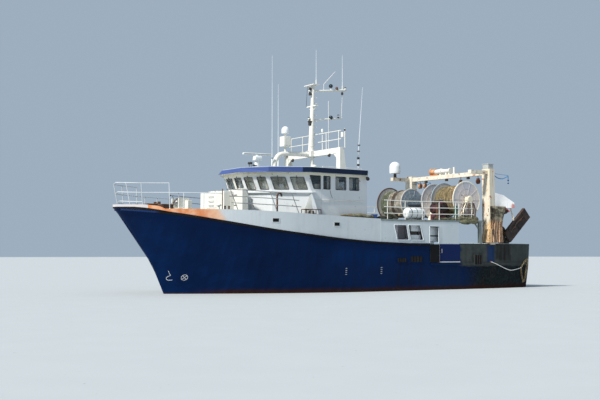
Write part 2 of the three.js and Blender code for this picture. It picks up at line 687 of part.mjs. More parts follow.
function makeMast() {
  const under = block(0, 3000, -500, 500, 7000, BEAM_TOP_Z + GAP);
  const column = cut(rod(vec(1256, 0, BEAM_TOP_Z - 30), vec(1120, 0, 11000), 165, 8, 80), under);
  const arms = [rod(vec(1150, 0, 10660), vec(-1100, 0, 10930), 45, 6),
    rod(vec(1150, 0, 9090), vec(-350, 0, 9300), 42, 6)];
  const plates = [block(1000, 1400, -450, 450, 10950, 10990), block(1080, 1260, -420, 420, 9800, 9870)];
  const whips = [rod(vec(1150, 330, 10980), vec(1150, 330, 12850), 22, 6),
    rod(vec(-850, 0, 10890), vec(-850, 0, 12850), 22, 6)];
  piece('mast', fuse(column, ...arms, ...plates, ...whips), 'white');
}

function makeMastLeg(roofZ) {
  // Bent leg. Columns: x, z
  const bend = [[3620, roofZ], [3560, 6700], [3400, 7000], [3150, 7140], [2700, 7190],
    [MAST_FORE_X + GAP, 7220]];
  const leg = cut(pipe(bend.map(([x, z]) => vec(x, 0, z)), 105, 8), block(3000, 4000, -300, 300, 6000, roofZ));
  const post = rod(vec(2910, 0, roofZ), vec(2910, 0, 8260), 55);
  const cabinet = block(2700, 3120, -220, 220, 7560, 8080);
  const dome = [rod(vec(2910, 0, 8250), vec(2910, 0, 8420), 205, 12), ball(vec(2910, 0, 8420), 204, 12, 6)];
  const trimmed = cut(leg, block(0, MAST_FORE_X + GAP, -400, 400, 7000, 7500));
  piece('mast_leg', fuse(trimmed, post, cabinet, ...dome), 'white');
}

const RADAR_HEADING = -9;

function makeRadar(roofZ) {
  const gearbox = block(4420, 4880, -180, 180, 6700, 6960);
  piece('radar_pedestal', fuse(rod(vec(4650, 0, roofZ), vec(4650, 0, 6750), 160, 10, 120), gearbox), 'white');
  const arm = block(-800, 800, -60, 60, 30, 150).rotateZ(THREE.MathUtils.degToRad(RADAR_HEADING));
  const scanner = piece('radar_scanner', fuse(arm, rod(vec(0, 0, GAP), vec(0, 0, 60), 90, 10)), 'white');
  scanner.position.set(4650, 0, 6960);
}

function makeWhips(roofZ) {
  // Columns: x, y, z of the tip, how far the tip leans aft
  const whips = [[2450, -2000, 12800, 0], [2250, -1700, 11200, 0], [-150, 2300, 10700, 300]].map(
    ([x, y, top, lean]) => {
      const socket = rod(vec(x, y, roofZ), vec(x, y, roofZ + 900), 45);
      return fuse(socket, rod(vec(x, y, roofZ + 880), vec(x - lean, y, top), 20, 6));
    },
  );
  const foot = block(2200, 2500, -2050, -1650, roofZ, roofZ + 40);
  piece('whips_starboard', fuse(whips[0], whips[1], foot), 'white');
  piece('whip_port', whips[2], 'white');
}

// Net drums, each turning on the Y axis. Columns: name, places of the flanges along y, radii of the nets
const DRUMS = [
  ['net_drum_starboard', [-3400, -1400, 600], [830, 430]],
  ['net_drum_port', [1420, 3180], [830]],
];
const CORE_RADIUS = 260;
const SHAFT_RADIUS = 90;
const SHAFT_REACH = 110;
const FLANGE_THICK = 50;

function drumShape(places) {
  const middle = (places[0] + places.at(-1)) / 2;
  const half = places.at(-1) - middle;
  const end = half + SHAFT_REACH;
  const core = turned([[0.01, -end], [SHAFT_RADIUS, -end], [SHAFT_RADIUS, -half], [CORE_RADIUS, -half],
    [CORE_RADIUS, half], [SHAFT_RADIUS, half], [SHAFT_RADIUS, end], [0.01, end]], 16);
  const t = FLANGE_THICK / 2;
  const discs = places.map((y) => (
    turned([[100, -t], [FLANGE_RADIUS, -t], [FLANGE_RADIUS, t], [100, t]], 28).translate(0, y - middle, 0)));
  return fuse(core, ...discs);
}

function netShape(span, radius) {
  const inner = CORE_RADIUS + 6;
  return turned([[inner, -span / 2], [radius - 40, -span / 2], [radius, -span / 4], [radius - 30, 0],
    [radius + 10, span / 4], [radius - 50, span / 2], [inner, span / 2]], 18);
}

function makeNetDrums() {
  DRUMS.forEach(([name, places, radii]) => {
    const middle = (places[0] + places.at(-1)) / 2;
    piece(name, drumShape(places), 'galvanised').position.set(DRUM_X, middle, DRUM_Z);
    places.slice(0, -1).forEach((y, i) => {
      const span = places[i + 1] - y - FLANGE_THICK - 2 * GAP;
      const label = name.replace('net_drum_', 'net_') + (places.length > 2 ? `_${i + 1}` : '');
      const fill = piece(label, netShape(span, radii[i]), i ? 'netPale' : 'net');
      fill.position.set(DRUM_X, (y + places[i + 1]) / 2, DRUM_Z);
    });
  });
}

function makeDrumStands(plate) {
  const reach = SHAFT_REACH + GAP;
  const bores = DRUMS.map(([, places]) => (
    rod(vec(DRUM_X, places[0] - reach, DRUM_Z), vec(DRUM_X, places.at(-1) + reach, DRUM_Z), 95, 16)));
  // Columns: y from, y to
  const stands = [[-3590, -3435], [636, 1384], [3216, 3380]].map(([y0, y1]) => {
    const foot = block(DRUM_X - 620, DRUM_X + 620, y0, y1, 3700, 3880);
    const legs = [-1, 1].map((side) => loft([[3850, 520], [DRUM_Z - 40, 60]].map(([z, dx]) => {
      const x = DRUM_X + side * dx;
      return [vec(x - 70, y0, z), vec(x + 70, y0, z), vec(x + 70, y1, z), vec(x - 70, y1, z)];
    })));
    const bearing = rod(vec(DRUM_X, y0, DRUM_Z), vec(DRUM_X, y1, DRUM_Z), 170, 12);
    return cut(fuse(foot, ...legs, bearing), ...bores);
  });
  const sills = [-560, 560].map((dx) => block(DRUM_X + dx - 50, DRUM_X + dx + 50, -3590, 3380, 3700, 3860));
  piece('drum_stands', seatOn(fuse(...stands, ...sills), plate), 'white');
}

function makeDrumMotor(plate) {
  const base = block(-6120, -5480, 1950, 2650, 3700, 4150);
  const motor = rod(vec(-5800, 1880, 4450), vec(-5800, 2720, 4450), 320, 14);
  const valves = block(-5950, -5600, 2100, 2500, 4600, 4880);
  piece('drum_motor', seatOn(fuse(base, motor, valves), plate), 'maroon');
}

// Gantry over the stern
const BOARD_X = -10710;
const BOARD_Y = 3480;
const BOARD_Z = 3580;

function boardShape(side, grow, thick) {
  const turn = THREE.MathUtils.degToRad(BOARD_LEAN);
  const shape = new THREE.BoxGeometry(2200 + 2 * grow, thick, 700 + 2 * grow).rotateY(turn);
  return shape.translate(BOARD_X, side * BOARD_Y, BOARD_Z);
}

function gantrySide(side, bulwark) {
  const foot = block(GANTRY_X - 200, GANTRY_X + 200, 3000, 3440, WORK_DECK_Z + GAP, 2600);
  const post = block(GANTRY_X - 200, GANTRY_X + 200, 3000, 3600, 2450, GANTRY_TOP);
  const arm = block(GANTRY_X + 150, -7150, 3230, 3470, 6400, 6600);
  // Hood over the stowed net. Columns: x, z of the top, z of the foot
  const stations = [[GANTRY_X - 190, 5400, 4560], [-9700, 5250, 4540], [-10550, 4850, 4560]];
  const hood = loft(stations.map(([x, z1, z0]) => (
    [vec(x, 3500, z0), vec(x, 3450, z1), vec(x, 3050, z1), vec(x, 3020, z0)])));
  const hanger = rod(vec(-10400, 3300, 4600), vec(-10520, BOARD_Y, 3700), 45, 6);
  const parts = [foot, arm, hood, cut(hanger, boardShape(1, GAP, 700))].map((part) => toSide(part, side));
  return fuse(seatOver(toSide(post, side), bulwark), ...parts);
}

function makeNetBundle(frame) {
  // Columns: z, x of the middle, half length, half width
  const levels = [[2560, -8890, 560, 400], [2900, -8890, 550, 400], [3500, -8950, 500, 360],
    [4100, -9060, 380, 260], [4600, -9140, 300, 180]];
  const squared = (value) => Math.sign(value) * Math.abs(value) ** 0.45;
  const bundle = loft(levels.map(([z, x, long, wide]) => Array.from({ length: 12 }, (_, k) => {
    const angle = (k + 0.5) * Math.PI / 6;
    return vec(x + long * squared(Math.cos(angle)), 3300 + wide * squared(Math.sin(angle)), z);
  })));
  const post = block(GANTRY_X - 200 - GAP, GANTRY_X + 200 + GAP, 3000 - GAP, 3600 + GAP, 2000, GANTRY_TOP);
  piece('net_bundle', cut(bundle, post, frame.clone().translate(0, 0, -GAP)), 'netPale');
}

function makeGantry(bulwarks) {
  const beam = block(GANTRY_X - 150, GANTRY_X + 150, -3100, 3100, 6380, 6620);
  const frame = fuse(beam, ...[1, -1].map((side) => gantrySide(side, bulwarks[side])));
  piece('gantry', frame, 'cream');
  [1, -1].forEach((side) => piece(`otter_board_${sideName(side)}`, boardShape(side, 0, 150), 'rust'));
  makeNetBundle(frame);
  const stalk = rod(vec(-7400, -3350, 6600 + GAP), vec(-7400, -3350, 6850), 90);
  const can = rod(vec(-7400, -3350, 6830), vec(-7400, -3350, 7280), 345, 14);
  piece('radome', fuse(stalk, can, ball(vec(-7400, -3350, 7280), 343, 14, 6)), 'white');
}

// Gear on the working deck
const WINCH_X = -2500;
const WINCH_Z = 1900;
const WINCH_DRUM_Y = 955;
const WINCH_SHAFT_HALF = 950;

function makeWinch() {
  const bearings = [-1950, -60, 1830].map((y) => fuse(
    block(WINCH_X - 500, WINCH_X + 500, y, y + 120, WORK_DECK_Z + GAP, 1420),
    block(WINCH_X - 120, WINCH_X + 120, y, y + 120, 1400, 1980),
    rod(vec(WINCH_X, y, WINCH_Z), vec(WINCH_X, y + 120, WINCH_Z), 140, 12),
  ));
  const bed = block(WINCH_X - 400, WINCH_X + 400, -1950, 1950, WORK_DECK_Z + GAP, 1280);
  const reach = WINCH_DRUM_Y + WINCH_SHAFT_HALF + GAP;
  const bore = rod(vec(WINCH_X, -reach, WINCH_Z), vec(WINCH_X, reach, WINCH_Z), 75, 14);
  piece('winch_frame', cut(fuse(bed, ...bearings), bore), 'deckGrey');
  const half = [[0.01, WINCH_SHAFT_HALF], [70, WINCH_SHAFT_HALF], [70, 800], [520, 800], [520, 760],
    [280, 760]];
  const profile = [...half.map(([r, y]) => [r, -y]), ...half.reverse()];
  [1, -1].forEach((side) => {
    const drum = piece(`winch_drum_${sideName(side)}`, turned(profile, 20), 'galvanised');
    drum.position.set(WINCH_X, side * WINCH_DRUM_Y, WINCH_Z);
  });
}

const HATCH_X = -9400;
const HATCH_HALF = 500;
const HATCH_TOP_Z = 1560;
const HATCH_HINGE_X = -8840;
const HATCH_HINGE_Z = 1590;

function hatchBar(y, half, radius) {
  const [from, to] = [-half, half].map((reach) => vec(HATCH_HINGE_X, y + reach, HATCH_HINGE_Z));
  return rod(from, to, radius, 10);
}

function makeHatch() {
  const outer = block(HATCH_X - HATCH_HALF, HATCH_X + HATCH_HALF, -HATCH_HALF, HATCH_HALF, WORK_DECK_Z + GAP,
    HATCH_TOP_Z);
  const clear = HATCH_HALF - 60;
  const inner = block(HATCH_X - clear, HATCH_X + clear, -clear, clear, WORK_DECK_Z + 60, HATCH_TOP_Z + 100);
  const hinges = [-300, 300];
  const earSides = hinges.flatMap((y) => [y - 79, y + 79]);
  const ears = earSides.map((y) => block(-8910, -8815, y - 16, y + 16, 1450, 1620));
  const slots = earSides.map((y) => block(-8925, -8800, y - 22, y + 22, 1500, 1700));
  const pins = hinges.map((y) => hatchBar(y, 100, 15));
  piece('hatch_coaming', fuse(cut(outer, inner), ...ears, ...pins), 'deckGrey');
  const plate = block(-9930, -8870, -530, 530, HATCH_TOP_Z + GAP, 1606);
  const edge = block(-8880, HATCH_HINGE_X, -360, 360, 1576, 1600);
  const lid = fuse(plate, edge, ...hinges.map((y) => hatchBar(y, 57, 26)));
  piece('hatch_lid', cut(lid, ...slots, ...hinges.map((y) => hatchBar(y, 200, 16))), 'deckGrey');
}

function makeRaft(plate) {
  const canister = rod(vec(-2600, 3180, 4080), vec(-3850, 3180, 4080), 290, 14);
  const cradle = [-2850, -3600].map((x) => block(x - 60, x + 60, 2980, 3380, 3650, 3900));
  piece('life_raft', seatOn(fuse(canister, ...cradle), plate), 'white');
}

// Screw, nozzle and rudder
function bladeRing(radius, chord, pitch, thick) {
  const angle = THREE.MathUtils.degToRad(pitch);
  return [[-1, -0.3], [-0.4, -1], [1, -0.2], [1, 0.2], [0, 1], [-1, 0.3]].map(([u, v]) => {
    const along = u * chord / 2;
    const across = v * thick / 2;
    const x = along * Math.sin(angle) + across * Math.cos(angle);
    return vec(x, along * Math.cos(angle) - across * Math.sin(angle), radius);
  });
}

function makePropeller() {
  const cone = rod(vec(-150, 0, 0), vec(-420, 0, 0), 140, 12, 30);
  const hub = fuse(rod(vec(BOSS_AFT_X - PROP_X - GAP, 0, 0), vec(-160, 0, 0), 150, 12), cone);
  // Columns: radius, chord, pitch angle, thickness
  const sections = [[100, 260, 62, 70], [300, 430, 45, 50], [560, 470, 30, 30], [760, 330, 24, 16],
    [PROP_RADIUS, 160, 22, 10]];
  const blade = loft(sections.map((row) => bladeRing(...row)));
  const blades = [0, 1, 2, 3].map((k) => blade.clone().rotateX(k * Math.PI / 2));
  piece('propeller', fuse(hub, ...blades), 'bronze').position.set(PROP_X, 0, PROP_Z);
}

function makeNozzle(hull) {
  const ring = turned([[830, -330], [850, -340], [930, 300], [915, 360], [840, 340], [815, 100]], 32);
  ring.rotateZ(Math.PI / 2).translate(PROP_X, 0, PROP_Z);
  const head = loft([-1100, -600].map((z) => [vec(PROP_X + 300, -60, z), vec(PROP_X + 300, 60, z),
    vec(PROP_X - 300, 60, z), vec(PROP_X - 300, -60, z)]));
  const foot = block(PROP_X - 200, PROP_X + 200, -90, 90, SOLE_TOP_Z + GAP, PROP_Z - 860);
  piece('propeller_nozzle', fuse(ring, cut(head, hull.clone().translate(0, 0, -GAP)), foot), 'antifouling');
}

function makeRudder() {
  // Columns: distance forward of the stock, half thickness
  const foil = [[290, 0], [220, 70], [60, 105], [-150, 90], [-500, 45], [-780, 8]];
  const outline = (z) => [...foil.map(([x, y]) => vec(x, y, z)),
    ...foil.slice(1).reverse().map(([x, y]) => vec(x, -y, z))];
  const blade = loft([KEEL_Z + 230, -1120].map(outline));
  const stock = rod(vec(0, 0, -1200), vec(0, 0, RUDDER_TRUNK_Z - GAP), 80, 12);
  const pintle = rod(vec(0, 0, SOLE_TOP_Z + GAP), vec(0, 0, KEEL_Z + 300), 55, 12);
  piece('rudder', fuse(blade, stock, pintle), 'antifouling').position.set(RUDDER_X, 0, 0);
}

const hull = makeHull();
const foreHull = makeForeHull();
const strake = makeForeStrake();
const bulwarks = makeBulwarks();
makeGate();
const plate = makeShelter(bulwarks);
makeSheerRails(foreHull, bulwarks);
makeRailings(foreHull, strake, plate);
makeWheelhouse(strake);
makeGlass();
makeRoof();
makeDoor();
makeHelm(strake);
makeWindlass(strake);
makeForedeck(strake, foreHull);
const roofGearZ = ROOF_TOP_Z + GAP;
makePortal(roofGearZ);
makeMast();
makeMastLeg(roofGearZ);
makeRadar(roofGearZ);
makeWhips(roofGearZ);
makeNetDrums();
makeDrumStands(plate);
makeDrumMotor(plate);
makeGantry(bulwarks);
makeWinch();
makeHatch();
makeRaft(plate);
makePropeller();
makeNozzle(hull);
makeRudder();

export default model;
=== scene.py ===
"""Looks of a stern trawler: finishes, fittings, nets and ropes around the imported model, in metres."""
import json
import math

import bmesh
import bpy
import numpy as np
from mathutils import Matrix, Vector, noise

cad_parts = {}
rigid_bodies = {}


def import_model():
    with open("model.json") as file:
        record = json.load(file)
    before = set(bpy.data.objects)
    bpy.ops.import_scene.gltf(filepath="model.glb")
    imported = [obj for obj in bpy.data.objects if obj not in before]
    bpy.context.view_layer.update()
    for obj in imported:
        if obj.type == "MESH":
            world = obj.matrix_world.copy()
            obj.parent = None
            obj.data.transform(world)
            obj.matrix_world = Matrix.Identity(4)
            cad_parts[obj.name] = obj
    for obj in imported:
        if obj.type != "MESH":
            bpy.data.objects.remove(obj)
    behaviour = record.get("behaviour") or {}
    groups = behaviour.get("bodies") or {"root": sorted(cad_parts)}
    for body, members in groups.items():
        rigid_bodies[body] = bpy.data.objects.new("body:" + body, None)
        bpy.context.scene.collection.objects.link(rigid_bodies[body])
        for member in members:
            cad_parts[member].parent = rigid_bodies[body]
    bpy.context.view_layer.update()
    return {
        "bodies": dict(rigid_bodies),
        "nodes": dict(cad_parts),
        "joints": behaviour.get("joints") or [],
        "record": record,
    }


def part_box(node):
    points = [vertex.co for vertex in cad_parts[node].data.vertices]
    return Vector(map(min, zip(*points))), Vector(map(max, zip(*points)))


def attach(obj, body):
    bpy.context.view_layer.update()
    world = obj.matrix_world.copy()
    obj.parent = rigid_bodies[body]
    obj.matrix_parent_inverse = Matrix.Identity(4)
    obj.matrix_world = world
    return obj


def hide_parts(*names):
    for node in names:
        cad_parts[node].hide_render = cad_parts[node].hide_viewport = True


bl_info = {
    "name": "Stern Trawler",
    "version": (1, 0, 0),
    "blender": (4, 5, 0),
    "location": "View3D > Sidebar > Trawler",
    "description": "Builds the finishes and fittings of a stern trawler around its packed model",
    "category": "Add Mesh",
}

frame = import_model()


def low(node):
    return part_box(node)[0]


# Driving dimensions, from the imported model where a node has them
WORK_DECK = low("bulwark_stern").z
BULKHEAD_X = low("hull_fore").x
KEEL = low("hull").z
HALF_BEAM = 3.6
STEM_HALF = 0.06
TRANSOM_X = -12.1
TRANSOM_RAKE = 0.14
QUARTER_RADIUS = 0.52
PLATE = 0.08
DRUM_X = -7.05
DRUM_Z = 4.93
DRUM_AXIS = (DRUM_X, 0, DRUM_Z)
CORE_RADIUS = 0.26
NET_RADIUS = 0.83
GANTRY_X = -8.65
SCREW = (-9.9, 0, -1.96)
RADAR = (4.65, 0, 6.96)
WINDLASS = (9.08, 0, 4.43)
SHELL_Y = 3.585
MESH_SIZE = 0.045
ALONG = (1, 0, 0)
ACROSS = (0, 1, 0)
UP = (0, 0, 1)

# Lines of the ship. Columns: x, z
SHEER = ((-12.6, 2.5), (-4.7, 2.48), (-1.9, 2.49), (0.1, 2.58), (1.7, 2.69), (3.8, 2.89), (5.75, 3.11),
         (8.3, 3.5), (10.5, 3.86), (12.5, 4.08))
DECK_EDGE = ((-8.1, 3.78), (-5.4, 3.76), (-1.9, 3.71), (1.5, 3.79), (4.4, 3.9), (7.5, 4.0), (11.5, 4.01))
BOTTOM = ((-12.2, -0.33), (-10.5, -0.64), (-9.5, -0.93), (-8, -1.4), (-6, -1.85), (-3, -2.08), (0, -2.12),
          (6, -2.12), (10.2, -2.05))
FULLNESS = ((-12.2, 0.9), (-8, 0.85), (-3, 0.6), (2, 0.6), (6, 0.9), (10.2, 1.3))


def lerp(a, b, t):
    return a + (b - a) * t


def clamp(value, least=0.0, most=1.0):
    return max(least, min(most, value))


def value_at(table, x):
    """The height on a smooth line through the table's points."""
    last = len(table) - 2
    i = 0
    while i < last and x > table[i + 1][0]:
        i += 1
    (x0, z0), (x1, z1) = table[i], table[i + 1]
    before, after = table[max(i - 1, 0)], table[min(i + 2, last + 1)]
    t = clamp((x - x0) / (x1 - x0))
    slope0 = (z1 - before[1]) / (x1 - before[0]) * (x1 - x0)
    slope1 = (after[1] - z0) / (after[0] - x0) * (x1 - x0)
    ease = 3 * t ** 2 - 2 * t ** 3
    return (1 - ease) * z0 + ease * z1 + (t ** 3 - 2 * t ** 2 + t) * slope0 + (t ** 3 - t ** 2) * slope1


def sheer(x):
    return value_at(SHEER, x)


def deck_edge(x):
    return value_at(DECK_EDGE, x)


def stem_x(z):
    return 9.88 + 0.4 * z + 0.062 * z * z if z > 0 else 9.88 - 0.143 * z * z


def transom_x(z):
    return TRANSOM_X - TRANSOM_RAKE * z


def half_breadth(x, z):
    """Half the ship's width at a place on her side."""
    h = clamp(z / sheer(x))
    u = clamp((stem_x(z) - x) / lerp(9.5, 8.2, h))
    full = lerp(3.5, HALF_BEAM, min(1, 2 * h))
    entry = (1 - (1 - u) ** lerp(1.7, 2.2, h)) ** lerp(1, 0.77, h)
    v = max(0, (-6.5 - x) / 6)
    return (STEM_HALF + (full - STEM_HALF) * entry) * (1 - 0.13 * v * v)


def worked(operation, swapped=False):
    """A method that adds the Math node of an operation."""
    def method(wire, *others):
        return wire.math(operation, *((*others, wire) if swapped else (wire, *others)))

    return method


class Wire:
    """One output of a node. Arithmetic on it adds the nodes that work it out."""
    __add__ = worked("ADD")
    __radd__ = worked("ADD", swapped=True)
    __sub__ = worked("SUBTRACT")
    __rsub__ = worked("SUBTRACT", swapped=True)
    __mul__ = worked("MULTIPLY")
    __rmul__ = worked("MULTIPLY", swapped=True)
    __truediv__ = worked("DIVIDE")
    __pow__ = worked("POWER")
    __abs__ = worked("ABSOLUTE")
    sign = worked("SIGN")
    cosine = worked("COSINE")
    sine = worked("SINE")
    most = worked("MAXIMUM")

    def __init__(self, graph, socket):
        self.graph = graph
        self.socket = socket

    def math(self, operation, *values):
        return self.graph.node("ShaderNodeMath", dict(enumerate(values)), operation=operation)

    def between(self, start, end):
        """0 before start and 1 after end, with a soft step; start may lie above end."""
        node = {"Value": self, "From Min": start, "From Max": end}
        return self.graph.node("ShaderNodeMapRange", node, interpolation_type="SMOOTHSTEP")

    def band(self, start, end, soft=0.01):
        """1 from start to end."""
        return self.between(start - soft, start + soft) * self.between(end + soft, end - soft)


class Graph:
    """A node tree written as calls: any node by its type, its sockets and its settings."""

    def __init__(self, tree):
        self.tree = tree

    def node(self, kind, inputs=None, output=0, **settings):
        made = self.tree.nodes.new(kind)
        for name, value in settings.items():
            setattr(made, name, value)
        self.feed(made, inputs or {})
        return Wire(self, made.outputs[output])

    def feed(self, made, inputs):
        for key, value in inputs.items():
            if isinstance(value, Wire):
                self.tree.links.new(value.socket, made.inputs[key])
            else:
                made.inputs[key].default_value = value


class Finish(Graph):
    """A material on object coordinates; its steady values are set on the shader itself."""

    def __init__(self, name, **steady):
        self.material = bpy.data.materials.new(name)
        self.material.use_nodes = True
        super().__init__(self.material.node_tree)
        self.shader = self.tree.nodes["Principled BSDF"]
        for socket, value in steady.items():
            self.shader.inputs[socket.replace("_", " ")].default_value = value
        self.place = self.node("ShaderNodeTexCoord", output="Object")
        self.x, self.y, self.z = self.split(self.place)

    def split(self, vector):
        made = self.tree.nodes.new("ShaderNodeSeparateXYZ")
        self.feed(made, {0: vector})
        return [Wire(self, output) for output in made.outputs]

    def facing(self, axis):
        """How far the surface looks along an axis of its own piece, from -1 to 1."""
        return self.split(self.node("ShaderNodeTexCoord", output="Normal"))["XYZ".index(axis)]

    def noise(self, kind, stretch, shift, inputs, **settings):
        where = self.node("ShaderNodeMapping", {"Vector": self.place, "Scale": stretch, "Location": shift})
        return self.node(kind, {"Vector": where, **inputs}, **settings)

    def cloud(self, scale, detail=4.0, stretch=(1, 1, 1), shift=(0, 0, 0)):
        inputs = {"Scale": scale, "Detail": detail, "Roughness": 0.55}
        return self.noise("ShaderNodeTexNoise", stretch, shift, inputs)

    def cells(self, scale, stretch=(1, 1, 1), feature="F1"):
        inputs = {"Scale": scale}
        return self.noise("ShaderNodeTexVoronoi", stretch, (0, 0, 0), inputs, output="Distance",
                          feature=feature)

    def mix(self, share, first, second):
        inputs = {0: share, 6: self.tint(first), 7: self.tint(second)}
        return self.node("ShaderNodeMix", inputs, output=2, data_type="RGBA")

    def tint(self, colour):
        return colour if isinstance(colour, Wire) else (*colour, 1.0)

    def done(self, colour=None, roughness=None, height=None, depth=0.004, **links):
        """Joins the worked-out values to the shader and gives the material."""
        sockets = {"Base Color": colour, "Roughness": roughness, **links}
        for name, value in sockets.items():
            if value is not None:
                self.feed(self.shader, {name: self.tint(value) if name == "Base Color" else value})
        if height is not None:
            bump = {"Height": height, "Strength": 1.0, "Distance": depth}
            self.feed(self.shader, {"Normal": self.node("ShaderNodeBump", bump)})
        return self.material


def painted(name, colour, worn, rust=0.5, runs=0.5, gloss=0.45, rust_colour=(0.16, 0.05, 0.018),
            dirt=(0.16, 0.13, 0.09), places=None, **steady):
    """Ship paint: patchy tone, dirt that runs down, rust in spots and a hand-rolled surface."""
    made = Finish(name, **steady)
    patches = made.cloud(0.7, 3.0)
    down = made.cloud(1.0, 5.0, (7, 7, 0.55)).between(0.52, 0.75) * made.cloud(0.9, 2.0).between(0.4, 0.65)
    spots = made.cloud(5.0, 6.0, shift=(3, 1, 7)).between(0.7 - 0.12 * rust, 0.78 - 0.1 * rust)
    weeps = made.cloud(1.6, 5.0, (4, 4, 0.5), (9, 2, 5)).between(0.72 - 0.14 * rust, 0.86 - 0.12 * rust)
    corroded = spots.most(weeps * 0.7)
    tone = made.mix(patches.between(0.35, 0.7), colour, worn)
    if places:
        tone = places(made, tone)
    dirty = made.mix(down * runs, tone, dirt)
    final = made.mix(corroded, dirty, rust_colour)
    rolled = made.cloud(60.0, 2.0) * 0.25 + made.cloud(2.2, 2.0) * 0.6 + spots * 0.5
    return made.done(final, corroded * 0.4 + down * 0.15 + gloss, rolled, 0.004)


class Shape:
    """Points and faces of a piece, each face with the number of its finish."""

    def __init__(self):
        self.points = []
        self.faces = []
        self.finish = []

    def add(self, points, faces, finish=0):
        start = len(self.points)
        self.points += [Vector(p) for p in points]
        self.faces += [tuple(start + i for i in face) for face in faces]
        self.finish += [finish] * len(faces)
        return self

    def grid(self, rows, finish=0, round_rows=False, caps=False, finish_of=None):
        """A skin over rows of points, closed along each row where round_rows is set."""
        wide = len(rows[0])
        start = len(self.points)
        self.points += [Vector(p) for row in rows for p in row]
        steps = wide if round_rows else wide - 1
        for r in range(len(rows) - 1):
            for i in range(steps):
                a, b = start + r * wide + i, start + r * wide + (i + 1) % wide
                self.faces.append((a, b, b + wide, a + wide))
                self.finish.append(finish_of(r, i) if finish_of else finish)
        if caps:
            last = start + (len(rows) - 1) * wide
            self.faces += [tuple(range(start + wide - 1, start - 1, -1)), tuple(range(last, last + wide))]
            self.finish += [finish, finish]
        return self

    def box(self, lowest, highest, finish=0, frame=None):
        (x0, y0, z0), (x1, y1, z1) = lowest, highest
        points = [Vector((x, y, z)) for x in (x0, x1) for y in (y0, y1) for z in (z0, z1)]
        if frame:
            points = [frame @ p for p in points]
        faces = [(0, 1, 3, 2), (4, 6, 7, 5), (0, 4, 5, 1), (2, 3, 7, 6), (0, 2, 6, 4), (1, 5, 7, 3)]
        return self.add(points, faces, finish)

    def prism(self, outline, direction, finish=0):
        """A flat outline pushed along a direction."""
        push = Vector(direction)
        ring = [Vector(p) for p in outline]
        return self.grid([ring, [p + push for p in ring]], finish, True, True)

    def tube(self, path, radius, sides=8, finish=0, last=None):
        """A round bar along a path, that may taper to another radius."""
        line = [Vector(p) for p in path]
        along = [(line[min(i + 1, len(line) - 1)] - line[max(i - 1, 0)]).normalized()
                 for i in range(len(line))]
        side = along[0].orthogonal().normalized()
        rows = []
        for i, point in enumerate(line):
            side = (side - along[i] * side.dot(along[i])).normalized()
            up = along[i].cross(side)
            thick = radius if last is None else lerp(radius, last, i / (len(line) - 1))
            turns = (2 * math.pi * k / sides for k in range(sides))
            rows.append([point + (side * math.cos(a) + up * math.sin(a)) * thick for a in turns])
        return self.grid(rows, finish, True, True)

    def post(self, foot, top, radius, sides, finish=0, last=None):
        """An upright bar from a foot to a height."""
        return self.tube([foot, (foot[0], foot[1], top)], radius, sides, finish, last=last)

    def turned(self, profile, centre, axis, sides=24, finish=0, closed=False):
        """A profile of (radius, distance along the axis) turned round it."""
        axis = Vector(axis).normalized()
        side = axis.orthogonal().normalized()
        up = axis.cross(side)
        rows = []
        for k in range(sides):
            a = 2 * math.pi * k / sides
            out = side * math.cos(a) + up * math.sin(a)
            rows.append([Vector(centre) + axis * far + out * radius for radius, far in profile])
        wide = len(profile)
        faces = []
        for r in range(sides):
            a, b = r * wide, (r + 1) % sides * wide
            for i in range(wide if closed else wide - 1):
                j = (i + 1) % wide
                faces.append((a + i, b + i, b + j, a + j))
        return self.add([p for row in rows for p in row], faces, finish)

    def loop(self, path, radius, sides=6, finish=0):
        """A round bar along a closed flat path."""
        line = [Vector(p) for p in path]
        middle = sum(line, Vector()) / len(line)
        flat = (line[0] - middle).cross(line[len(line) // 4] - middle).normalized()
        rows = []
        for i, point in enumerate(line):
            out = (line[(i + 1) % len(line)] - line[i - 1]).normalized().cross(flat).normalized()
            turns = (2 * math.pi * k / sides for k in range(sides))
            rows.append([point + (out * math.cos(a) + flat * math.sin(a)) * radius for a in turns])
        return self.grid([*rows, rows[0]], finish, True)

    def ball(self, centre, radius, finish=0, rings=10, sides=16):
        profile = [(radius * math.sin(math.pi * k / rings), -radius * math.cos(math.pi * k / rings))
                   for k in range(rings + 1)]
        return self.turned(profile, centre, UP, sides, finish)

    def join(self, other, frame):
        start = len(self.points)
        self.points += [frame @ p for p in other.points]
        self.faces += [tuple(start + i for i in face) for face in other.faces]
        self.finish += other.finish
        return self

    def mesh(self, name, looks="", crease=35.0):
        """The plain mesh, with finishes named in one line of words."""
        mesh = bpy.data.meshes.new(name)
        mesh.from_pydata([tuple(p) for p in self.points], [], self.faces)
        for look in looks.split():
            mesh.materials.append(finish(look))
        mesh.polygons.foreach_set("material_index", self.finish)
        shape = bmesh.new()
        shape.from_mesh(mesh)
        bmesh.ops.remove_doubles(shape, verts=shape.verts, dist=1e-5)
        bmesh.ops.dissolve_degenerate(shape, edges=shape.edges, dist=1e-6)
        bmesh.ops.recalc_face_normals(shape, faces=shape.faces)
        shape.to_mesh(mesh)
        shape.free()
        smooth(mesh, crease)
        return mesh

    def piece(self, name, looks, slot, replaces=(), body="ship", crease=35.0, bevel=0.0):
        """The finished piece, riding on a body of the frame."""
        made = loose(name, self.mesh(name, looks, crease))
        if bevel:
            rounded(made, bevel)
        return settle(made, slot, replaces, body)


def loose(name, data):
    """An object that rides on nothing yet."""
    made = bpy.data.objects.new(name, data)
    bpy.context.scene.collection.objects.link(made)
    return made


def smooth(mesh, crease):
    mesh.polygons.foreach_set("use_smooth", [True] * len(mesh.polygons))
    mesh.set_sharp_from_angle(angle=math.radians(crease))


def rounded(made, width):
    bevel = made.modifiers.new("edges", "BEVEL")
    bevel.width = width
    bevel.segments = 2
    bevel.limit_method = "ANGLE"
    bevel.angle_limit = math.radians(40)


